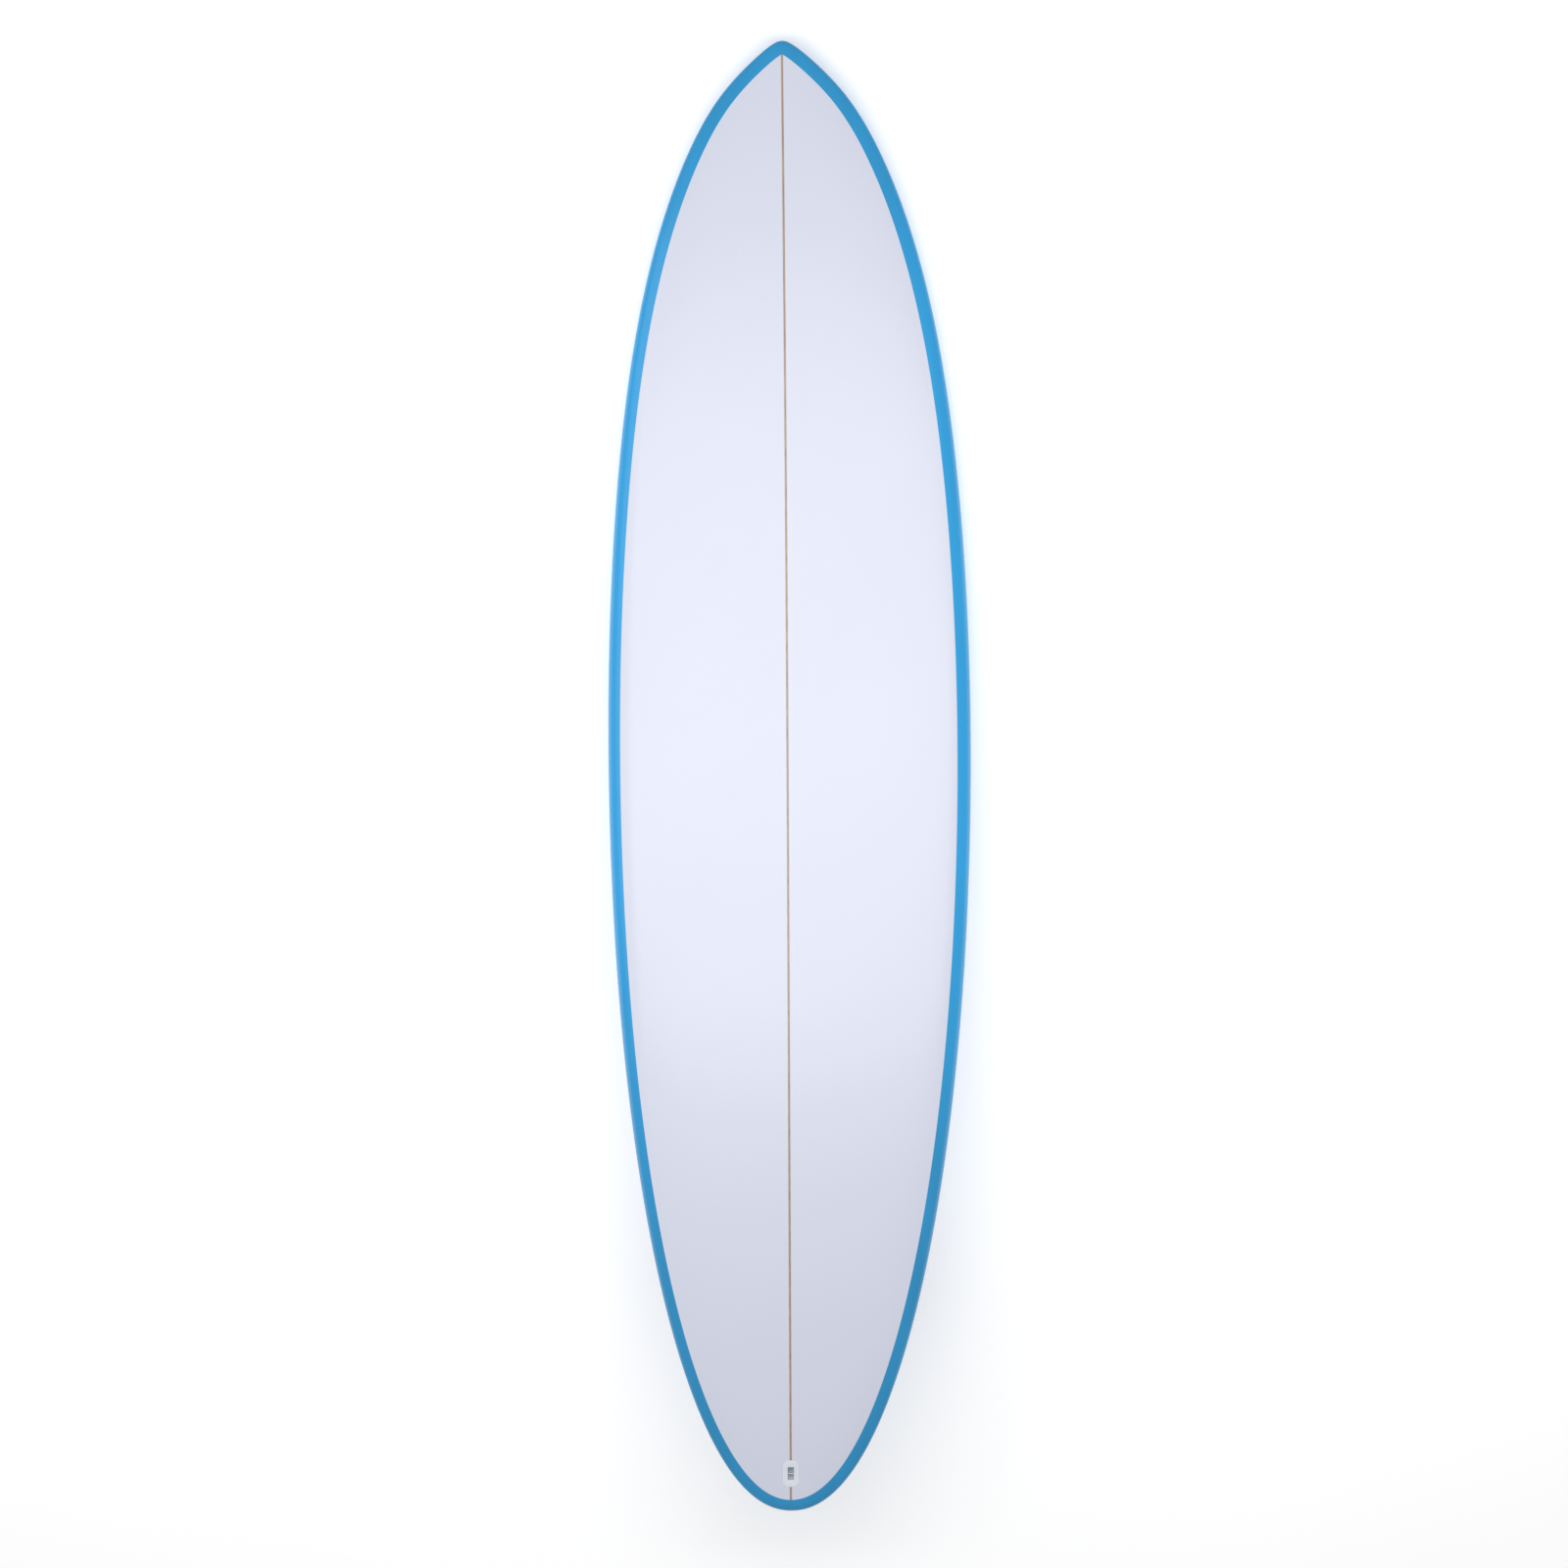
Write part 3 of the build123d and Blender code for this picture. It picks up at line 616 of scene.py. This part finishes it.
def rest_place(shape: BoardShape, box_from_tail: float, slide: Sequence[float]) -> Array:
    """Works out how the level board lies on the floor.

    The centre fin slides along the bottom where its box is, so the angle between the slide's
    direction and the level bottom's slope there is the board's pitch. The board is then moved
    so that its middle is over the origin and its belly touches the floor.

    Args:
        shape: the board's shape.
        box_from_tail: where the centre fin box is.
        slide: direction of the centre fin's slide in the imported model.

    Returns:
        The place as a 4 x 4 matrix.
    """
    step = 1 * MM
    ahead, behind = (float(shape.bottom_z(box_from_tail + s, 0.0)) for s in (step, -step))
    level_slope = math.atan2(ahead - behind, 2 * step)
    flip = math.copysign(1.0, slide[1])
    pitch = math.degrees(math.atan2(flip * slide[2], flip * slide[1]) - level_slope)
    y = shape.length * (1 - np.cos(np.linspace(0.02, math.pi - 0.02, 800))) / 2
    across = np.sin(np.linspace(0, math.pi / 2, 60))[:, None]
    sheets = [shape.deck_z(y, across), shape.bottom_z(y, across)]
    height = np.stack(sheets)
    points = np.stack([np.zeros_like(height), np.broadcast_to(y, height.shape), height], axis=-1)
    laid = carry(turn("x", pitch), points.reshape(-1, 3))
    low, high = laid.min(axis=0), laid.max(axis=0)
    return shift(0, -(low[1] + high[1]) / 2, -low[2]) @ turn("x", pitch)


# --- Meshes --------------------------------------------------------------------------------
def stretch(low: float, high: float, count: int) -> Array:
    """Places from low to high that crowd towards both ends, as the cosine of an even angle."""
    return low + (high - low) * (1 - np.cos(np.linspace(0, math.pi, count))) / 2


def mesh_object(name: str, points: Array, faces: Sequence[Sequence[int]]) -> bpy.types.Object:
    """Makes an object at the origin from points and faces.

    Args:
        name: the piece's name.
        points: one row of x, y and z for each point.
        faces: point numbers of each face, in order round its outside.

    Returns:
        The new object, in the scene.
    """
    mesh = bpy.data.meshes.new(name)
    mesh.from_pydata(points.tolist(), [], [list(face) for face in faces])
    mesh.update()
    piece = bpy.data.objects.new(name, mesh)
    bpy.context.scene.collection.objects.link(piece)
    return piece


def grid_object(name: str, grid: Array, ring: bool = False, flip: bool = False) -> bpy.types.Object:
    """Makes an object from a grid of points, with a four-sided face in each cell.

    Args:
        name: the piece's name.
        grid: points by row and column.
        ring: whether the last column joins the first.
        flip: whether the faces point the other way.

    Returns:
        The new object, with points that coincide made one.
    """
    rows, columns = grid.shape[:2]
    number = np.arange(rows * columns).reshape(rows, columns)
    if ring:
        number = np.concatenate([number, number[:, :1]], axis=1)
    corners = [number[:-1, :-1], number[:-1, 1:], number[1:, 1:], number[1:, :-1]]
    faces = np.stack(corners, axis=-1).reshape(-1, 4)
    piece = mesh_object(name, grid.reshape(-1, 3), faces[:, ::-1] if flip else faces)
    weld(piece)
    return piece


def weld(piece: bpy.types.Object, distance: float = 0.002 * MM) -> None:
    """Makes points of the piece that coincide one, which also closes its poles."""
    shape = bmesh.new()
    shape.from_mesh(piece.data)
    bmesh.ops.remove_doubles(shape, verts=shape.verts, dist=distance)
    shape.to_mesh(piece.data)
    shape.free()


def settle(piece: bpy.types.Object) -> None:
    """Applies the piece's modifiers to its mesh."""
    ready = piece.evaluated_get(bpy.context.evaluated_depsgraph_get())
    mesh = bpy.data.meshes.new_from_object(ready)
    piece.modifiers.clear()
    piece.data = mesh


def smooth(piece: bpy.types.Object, sharp: float = 35.0) -> None:
    """Shades the piece smooth, apart from edges sharper than that many degrees."""
    piece.data.shade_smooth()
    piece.data.set_sharp_from_angle(angle=math.radians(sharp))


def cut_out(piece: bpy.types.Object, cutters: Sequence[bpy.types.Object]) -> None:
    """Cuts the openings out of the piece, and removes the objects that cut them."""
    for cutter in cutters:
        change = piece.modifiers.new(cutter.name, "BOOLEAN")
        change.operation, change.solver, change.object = "DIFFERENCE", "EXACT", cutter
    settle(piece)
    for cutter in cutters:
        bpy.data.objects.remove(cutter)


def rounded_outline(width: float, length: float, radius: float, points: int = 12) -> Array:
    """Rectangle with round corners, as points round the middle.

    Each corner is a quarter circle of the radius about a centre that lies the radius inside
    both sides.

    Args:
        width: its size along X.
        length: its size along Y.
        radius: of the corners. Half the width gives round ends.
        points: on each corner.

    Returns:
        One row of x and y for each point.
    """
    angle = np.linspace(0, math.pi / 2, points) + np.arange(4)[:, None] * math.pi / 2
    signs = np.array([[1, 1], [-1, 1], [-1, -1], [1, -1]])[:, None, :]
    centre = signs * np.array([width / 2 - radius, length / 2 - radius])
    arc = radius * np.stack([np.cos(angle), np.sin(angle)], axis=-1)
    return (centre + arc).reshape(-1, 2)


def at_height(outline: Array, height: float) -> Array:
    """Returns a flat outline's points as rows of x, y and that height."""
    return np.column_stack([outline, np.full(len(outline), height)])


def block(name: str, outline: Array, low: float, high: float, place: Array) -> bpy.types.Object:
    """Makes an upright block with that outline, from one height to another in its place."""
    middle = outline.mean(axis=0)
    rings = [(0.0, low), (1.0, low), (1.0, high), (0.0, high)]
    rows = [at_height(middle + (outline - middle) * share, z) for share, z in rings]
    return grid_object(name, carry(place, np.stack(rows)), ring=True)


# --- Sub-assemblies ------------------------------------------------------------------------
class Side(Enum):
    """The board's two sides, as seen from above with the nose ahead."""

    LEFT = -1
    RIGHT = 1


class Job:
    """What every sub-assembly needs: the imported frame, the shape and the rest place."""

    def __init__(self, shape: BoardShape, rest: Array, nodes: dict[str, bpy.types.Object]) -> None:
        """Keeps the shared facts.

        Args:
            shape: the board's shape.
            rest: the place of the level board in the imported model.
            nodes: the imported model's objects by name.
        """
        self.shape = shape
        self.rest = rest
        self.nodes = nodes

    def dress(self, piece: bpy.types.Object, finish: bpy.types.Material) -> None:
        """Gives the piece one material."""
        piece.data.materials.clear()
        piece.data.materials.append(finish)

    def hand_over(
        self,
        piece: bpy.types.Object,
        body: str,
        slot: str,
        finish: bpy.types.Material,
        stands_for: Sequence[str],
    ) -> None:
        """Finishes a piece: its material, the body it rides on and what it stands for.

        Args:
            piece: the finished piece.
            body: the body it moves with.
            slot: the record's material slot. It is not used.
            finish: its material.
            stands_for: the nodes that it replaces.
        """
        self.dress(piece, finish)
        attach(piece, body)
        if stands_for:
            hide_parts(*stands_for)
        LOG.info("%s: %d faces on %s", piece.name, len(piece.data.polygons), body)

    def smoothed(self, node: str) -> bpy.types.Object:
        """Copies a node's mesh, makes it one surface and shades it smooth.

        Args:
            node: the node's name.

        Returns:
            The new object.
        """
        piece = bpy.data.objects.new(f"{node}_shown", self.nodes[node].data.copy())
        bpy.context.scene.collection.objects.link(piece)
        weld(piece)
        smooth(piece)
        return piece


@dataclass
class Skin:
    """The glass skin: deck and bottom panels, and the two tinted laps round the rails."""

    job: Job
    thick: float = 1.2 * MM
    deck_band_tail: float = 17 * MM
    deck_band_nose: float = 21 * MM
    bottom_band: float = 32 * MM
    columns: int = 56
    rail_columns: int = 22
    openings: dict[str, tuple[Array, Array]] = field(default_factory=dict)

    def outlines(self) -> tuple[Array, Array, Array, list[Array]]:
        """Works out the rows that all panels share.

        Returns:
            The rows' distances from the tail, the half-widths of the deck panel and of the
            bottom panel there, and the rows of each panel.
        """
        deck_y, deck_x = self.job.shape.inset_outline(self.deck_band_tail, self.deck_band_nose)
        under_y, under_x = self.job.shape.inset_outline(self.bottom_band, self.bottom_band)
        stops = [0, deck_y[0], under_y[0], under_y[-1], deck_y[-1], self.job.shape.length]
        counts = [14, 14, 180, 16, 18]
        spans = [stretch(a, b, n) for a, b, n in zip(stops[:-1], stops[1:], counts)]
        rows = np.concatenate([span[:-1] for span in spans] + [spans[-1][-1:]])
        ends = np.concatenate([[0], np.cumsum([n - 1 for n in counts])])
        deck = np.interp(rows, deck_y, deck_x, left=0.0, right=0.0)
        under = np.interp(rows, under_y, under_x, left=0.0, right=0.0)
        return rows, deck, under, [np.arange(ends[1], ends[4] + 1), np.arange(ends[2], ends[3] + 1)]

    def thicken(self, piece: bpy.types.Object) -> None:
        """Gives the sheet its wall, inwards from its outer surface."""
        wall = piece.modifiers.new("wall", "SOLIDIFY")
        wall.thickness, wall.offset, wall.use_rim = self.thick, -1.0, True
        settle(piece)

    def panel(self, name: str, y: Array, half: Array, under: bool) -> bpy.types.Object:
        """Makes the deck or bottom panel, with x an even share of the half-width in each row.

        Args:
            name: the piece's name.
            y: distances of the rows from the tail.
            half: the panel's half-width in each row.
            under: whether it is the bottom.

        Returns:
            The closed panel.
        """
        shape, share = self.job.shape, np.linspace(-1, 1, self.columns + 1)[None, :]
        x, rows = share * half[:, None], np.repeat(y[:, None], self.columns + 1, axis=1)
        across = np.clip(x / shape.half_at(rows), -1, 1)
        z = shape.bottom_z(rows, across) if under else shape.deck_z(rows, across)
        piece = grid_object(name, carry(self.job.rest, np.stack([x, rows, z], axis=-1)), flip=under)
        self.thicken(piece)
        return piece

    def lap(self, side: Side, y: Array, deck: Array, under: Array) -> bpy.types.Object:
        """Makes one rail lap: from the deck panel's edge round the rail to the bottom panel's.

        In each row the share of the half-width is the sine of an angle. The angle runs from
        the deck panel's edge to a right angle at the apex, and back to the bottom panel's.

        Args:
            side: which side it is on.
            y: distances of the rows from the tail.
            deck: half-width of the deck panel in each row.
            under: half-width of the bottom panel in each row.

        Returns:
            The closed lap.
        """
        shape = self.job.shape
        half = shape.half_at(y)
        safe = np.maximum(half, 1e-9)
        run = np.linspace(0, 1, self.rail_columns + 1)[None, :]
        starts = [np.arcsin(np.clip(edge / safe, 0, 1))[:, None] for edge in (deck, under)]
        over, below = (start + (math.pi / 2 - start) * run for start in starts)
        rows = np.repeat(y[:, None], self.rail_columns + 1, axis=1)
        top = shape.deck_z(rows, np.sin(over))
        low = shape.bottom_z(rows, np.sin(below))
        angle = np.concatenate([over, below[:, ::-1][:, 1:]], axis=1)
        z = np.concatenate([top, low[:, ::-1][:, 1:]], axis=1)
        x = side.value * np.sin(angle) * half[:, None]
        grid = np.stack([x, np.repeat(y[:, None], x.shape[1], axis=1), z], axis=-1)
        name = f"rail_lap_{side.name.lower()}_shown"
        piece = grid_object(name, carry(self.job.rest, grid), flip=side is Side.LEFT)
        self.thicken(piece)
        return piece

    def build(self) -> None:
        """Builds and dresses the four pieces of the skin."""
        y, deck, under, (deck_rows, under_rows) = self.outlines()
        glass, blue = ClearGlass().material(), BlueLap().material()
        top = self.panel("deck_laminate_shown", y[deck_rows], deck[deck_rows], under=False)
        base = self.panel("bottom_laminate_shown", y[under_rows], under[under_rows], under=True)
        for piece, names in ((top, ("plug",)), (base, ("centre_box", "left_box", "right_box"))):
            cutters = [self.cutter(name) for name in names]
            cut_out(piece, cutters)
            smooth(piece)
        self.job.hand_over(top, "board", "deck_laminate", glass, ["deck_laminate"])
        self.job.hand_over(base, "board", "bottom_laminate", glass, ["bottom_laminate"])
        for side in Side:
            piece = self.lap(side, y, deck, under)
            smooth(piece)
            node = f"rail_lap_{side.name.lower()}"
            self.job.hand_over(piece, "board", "blue_lap", blue, [node])

    def cutter(self, name: str) -> bpy.types.Object:
        """Makes the block that cuts one opening, through the skin and a little beyond."""
        outline, place = self.openings[name]
        reach = 8 * MM
        return block(f"cut_{name}", outline, -reach, reach, self.job.rest @ place)


@dataclass
class LeashPlug:
    """The moulded leash cup let into the deck at the tail, with its steel cross bar."""

    job: Job
    from_tail: float = 55 * MM
    length: float = 38.5 * MM
    width: float = 24.2 * MM
    corner: float = 9.5 * MM
    flange: float = 2 * MM
    rim: float = 2.5 * MM
    depth: float = 15 * MM
    slot_length: float = 18.4 * MM
    slot_width: float = 9.1 * MM
    slot_corner: float = 1 * MM
    slot_depth: float = 12.5 * MM
    bar_radius: float = 1.6 * MM
    bar_depth: float = 4.4 * MM
    bar_seat: float = 3 * MM
    bar_chamfer: float = 0.3 * MM
    edge: float = 0.35 * MM
    mouth: float = 0.5 * MM
    least_corner: float = 0.01 * MM
    edge_rings: int = 5
    corner_points: int = 10
    bar_points: int = 32

    def place(self) -> Array:
        """Returns the plug's place on the level board."""
        return self.job.shape.deck_frame(self.from_tail)

    def opening(self) -> tuple[Array, Array]:
        """Returns the outline and the place of the hole that the plug needs in the deck."""
        return rounded_outline(self.width, self.length, self.corner), self.place()

    def cup(self) -> bpy.types.Object:
        """Makes the cup as one profile carried round rounded outlines.

        Each ring is a rounded rectangle at its own height. The rings run from the middle of
        the underside, out and up round the flange with a small radius at its edge, over the
        face, round the slot's mouth and down the slot to the middle of its floor.
        """
        rings: list[tuple[float, float, float, float]] = []

        def outer(inset: float, z: float) -> None:
            """Adds a ring that lies that far inside the plug's outline."""
            sizes = (self.width, self.length, self.corner)
            corner = max(sizes[2] - inset, self.least_corner)
            rings.append((sizes[0] - 2 * inset, sizes[1] - 2 * inset, corner, z))

        def inner(grow: float, z: float) -> None:
            """Adds a ring that lies that far outside the slot's outline."""
            sizes = (self.slot_width, self.slot_length, self.slot_corner)
            corner = max(sizes[2] + grow, self.least_corner)
            rings.append((sizes[0] + 2 * grow, sizes[1] + 2 * grow, corner, z))

        outer(self.rim, -self.depth)
        outer(self.rim, -self.flange)
        outer(0, -self.flange)
        for angle in np.linspace(0, math.pi / 2, self.edge_rings):
            outer(self.edge * (1 - math.cos(angle)), self.edge * (math.sin(angle) - 1))
        for angle in np.linspace(math.pi / 2, 0, self.edge_rings):
            inner(self.mouth * (1 - math.cos(angle)), self.mouth * (math.sin(angle) - 1))
        inner(0, -self.slot_depth)
        rows = [at_height(rounded_outline(*sizes, self.corner_points), z) for *sizes, z in rings]
        first, last = (row * [0, 0, 1] for row in (rows[0], rows[-1]))
        grid = carry(self.job.rest @ self.place(), np.stack([first, *rows, last]))
        return grid_object("leash_plug_cup_shown", grid, ring=True)

    def bar(self) -> bpy.types.Object:
        """Makes the bar as a circle carried along X, with a small chamfer at each end."""
        reach, chamfer = self.slot_width / 2 + self.bar_seat, self.bar_chamfer
        stops = [(-reach, 0.0), (-reach, self.bar_radius - chamfer)]
        stops += [(chamfer - reach, self.bar_radius)]
        stops += [(-x, r) for x, r in reversed(stops)]
        angle = np.linspace(0, 2 * math.pi, self.bar_points, endpoint=False)
        circle = np.column_stack([np.zeros(self.bar_points), np.cos(angle), np.sin(angle)])
        rows = [circle * r + [x, 0, 0] for x, r in stops]
        grid = np.stack(rows) - [0, 0, self.bar_depth]
        grid = carry(self.job.rest @ self.place(), grid)
        return grid_object("leash_plug_bar_shown", grid, ring=True, flip=True)

    def build(self) -> None:
        """Builds and dresses the cup and the bar."""
        cup, bar = self.cup(), self.bar()
        smooth(cup, 50)
        smooth(bar)
        self.job.hand_over(cup, "board", "plug_plastic", WHITE_PLUG.material(), ["leash_plug_cup"])
        self.job.hand_over(bar, "board", "steel", STAINLESS.material(), ["leash_plug_bar"])


@dataclass
class FinBoxes:
    """The long box of the centre fin and the two short boxes of the side fins."""

    job: Job
    centre_from_tail: float = 290 * MM
    centre_length: float = 266 * MM
    centre_width: float = 25 * MM
    side_from_tail: float = 345 * MM
    side_from_rail: float = 64 * MM
    side_length: float = 122 * MM
    side_width: float = 27 * MM
    cant: float = 5.0
    toe_in: float = 2.0

    def side_place(self, side: Side) -> Array:
        """Returns the place of one side box on the level board."""
        x = side.value * (float(self.job.shape.half_at(self.side_from_tail)) - self.side_from_rail)
        cant, toe_in = side.value * self.cant, side.value * self.toe_in
        return self.job.shape.bottom_frame(x, self.side_from_tail, cant, toe_in)

    def openings(self) -> dict[str, tuple[Array, Array]]:
        """Returns the outline and the place of each box's opening in the bottom."""
        centre = rounded_outline(self.centre_width, self.centre_length, self.centre_width / 2)
        short = rounded_outline(self.side_width, self.side_length, self.side_width / 2)
        found = {"centre_box": (centre, self.job.shape.bottom_frame(0.0, self.centre_from_tail))}
        for side in Side:
            found[f"{side.name.lower()}_box"] = (short, self.side_place(side))
        return found

    def build(self) -> None:
        """Dresses the three boxes."""
        plastic = WHITE_BOX.material()
        for node in ("centre_fin_box", "side_fin_box_left", "side_fin_box_right"):
            piece = self.job.smoothed(node)
            self.job.hand_over(piece, "board", "box_plastic", plastic, [node])


@dataclass
class Fins:
    """The centre fin with its pin, plate and screw, and the side fins with their grub screws."""

    job: Job

    def build(self) -> None:
        """Dresses every fin and fastener."""
        glass, brass, steel = FinGlass().material(), BRASS_ROD.material(), STAINLESS.material()
        rows = [
            ("centre_fin", "centre_fin", "fin_laminate", glass),
            ("centre_fin_pin", "centre_fin", "pin_brass", brass),
            ("centre_fin_plate", "centre_fin", "steel", steel),
            ("centre_fin_screw", "centre_fin_screw", "steel", steel),
        ]
        for side in Side:
            name = side.name.lower()
            rows.append((f"side_fin_{name}", f"side_fin_{name}", "fin_laminate", glass))
            for end in ("front", "rear"):
                screw = f"{end}_grub_screw_{name}"
                rows.append((screw, screw, "steel", steel))
        for node, body, slot, finish in rows:
            piece = self.job.smoothed(node)
            self.job.hand_over(piece, body, slot, finish, [node])


@dataclass
class Core:
    """The foam blank and its stringer, inside the skin."""

    job: Job

    def build(self) -> None:
        """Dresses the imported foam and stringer, which keep their own shapes."""
        foam, wood = CellFoam().material(), StringerWood().material()
        finishes = {"foam_core_left": foam, "foam_core_right": foam, "stringer": wood}
        for node, finish in finishes.items():
            self.job.dress(self.job.nodes[node], finish)
            LOG.info("%s: finish %s", node, finish.name)


@dataclass
class Studio:
    """Floor, lights and camera."""

    job: Job
    distance: float = 9.0
    lens: float = 142.3
    roll: float = 3.5
    tilt: float = 0.36
    aim_right: float = 4.3 * MM
    aim_up: float = 12.0 * MM
    floor_side: float = 30.0
    floor_glow: float = 0.30

    def floor(self) -> None:
        """Makes the plain floor, with a very faint mottle."""
        corner = np.array([-0.5, 0.5]) * self.floor_side
        x, y = np.meshgrid(corner, corner)
        piece = grid_object("floor", np.stack([x, y, np.zeros_like(x)], axis=-1))
        r = Recipe("pale_floor")
        point, *_ = r.places()
        soft = r.noise(point, 2.0, 3.0)
        colour = r.blend(soft, (0.90, 0.90, 0.90), (0.92, 0.92, 0.92))
        glow = {"Emission_Color": (1.0, 1.0, 1.0), "Emission_Strength": self.floor_glow}
        self.job.dress(piece, r.finish(Base_Color=colour, Roughness=0.85, **glow))

    def lights(self) -> None:
        """Makes the even white surroundings and a big soft light over the upper deck."""
        world = bpy.data.worlds.new("studio")
        bpy.context.scene.world = world
        world.use_nodes = True
        world.node_tree.nodes["Background"].inputs["Color"].default_value = (1, 1, 1, 1)
        world.node_tree.nodes["Background"].inputs["Strength"].default_value = 0.48
        self.area("overhead", (0.0, 0.28, 2.0), (0.0, 0.28, 0.0), (4.0, 1.1), 33.0)
        self.area("fill", (-3.2, 0.6, 2.4), (0.0, 0.0, 0.0), (2.0, 2.0), 9.0)

    def area(
        self,
        name: str,
        spot: tuple[float, float, float],
        aim: tuple[float, float, float],
        size: tuple[float, float],
        power: float,
    ) -> None:
        """Makes one rectangular area light.

        Args:
            name: its name.
            spot: where it stands.
            aim: the point that it faces.
            size: its two sides.
            power: in watts.
        """
        lamp = bpy.data.lights.new(name, "AREA")
        lamp.shape, lamp.size, lamp.size_y, lamp.energy = "RECTANGLE", *size, power
        holder = bpy.data.objects.new(name, lamp)
        bpy.context.scene.collection.objects.link(holder)
        holder.location = spot
        away = Vector(spot) - Vector(aim)
        holder.rotation_euler = away.to_track_quat("Z", "Y").to_euler()

    def tone(self) -> None:
        """Shows colours as they are, so that white stays white."""
        bpy.context.scene.view_settings.view_transform = "Standard"

    def camera(self) -> None:
        """Makes the camera, which looks square on to the line from the tail tip to the nose tip.

        It is rolled about that line, and tilted in its own plane.
        """
        shape = self.job.shape
        tips = np.array([[0, y, float(shape.heights(y)[0])] for y in (0.0, shape.length)])
        tail, nose = carry(self.job.rest, tips)
        chord = (nose - tail) / np.linalg.norm(nose - tail)
        across = np.array([1.0, 0.0, 0.0])
        normal = np.cross(across, chord)
        roll, tilt = math.radians(self.roll), math.radians(self.tilt)
        back = normal * math.cos(roll) + across * math.sin(roll)
        right = across * math.cos(roll) - normal * math.sin(roll)
        side = right * math.cos(tilt) - chord * math.sin(tilt)
        up = chord * math.cos(tilt) + right * math.sin(tilt)
        aim = (tail + nose) / 2 - side * self.aim_right - up * self.aim_up
        lens = bpy.data.cameras.new("camera")
        lens.lens, lens.sensor_width, lens.clip_end = self.lens, 36.0, 100.0
        holder = bpy.data.objects.new("camera", lens)
        bpy.context.scene.collection.objects.link(holder)
        matrix = np.eye(4)
        matrix[:3, 0], matrix[:3, 1], matrix[:3, 2] = side, up, back
        matrix[:3, 3] = aim + back * self.distance
        holder.matrix_world = Matrix(matrix.tolist())
        bpy.context.scene.camera = holder

    def build(self) -> None:
        """Makes the floor, the lights and the camera."""
        self.tone()
        self.floor()
        self.lights()
        self.camera()


def main() -> None:
    """Builds the scene, piece by piece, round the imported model."""
    logging.basicConfig(level=logging.INFO, format="%(name)s %(message)s", stream=sys.stdout)
    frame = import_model()
    shape = BoardShape()
    slide = next(j for j in frame["joints"] if j["name"] == "centre_fin_slide")
    rest = rest_place(shape, FinBoxes.centre_from_tail, slide["axis"])
    job = Job(shape, rest, frame["nodes"])
    plug, boxes = LeashPlug(job), FinBoxes(job)
    openings = {"plug": plug.opening(), **boxes.openings()}
    for assembly in (Core(job), Skin(job, openings=openings), plug, boxes, Fins(job), Studio(job)):
        assembly.build()


if __name__ == "__main__":
    main()
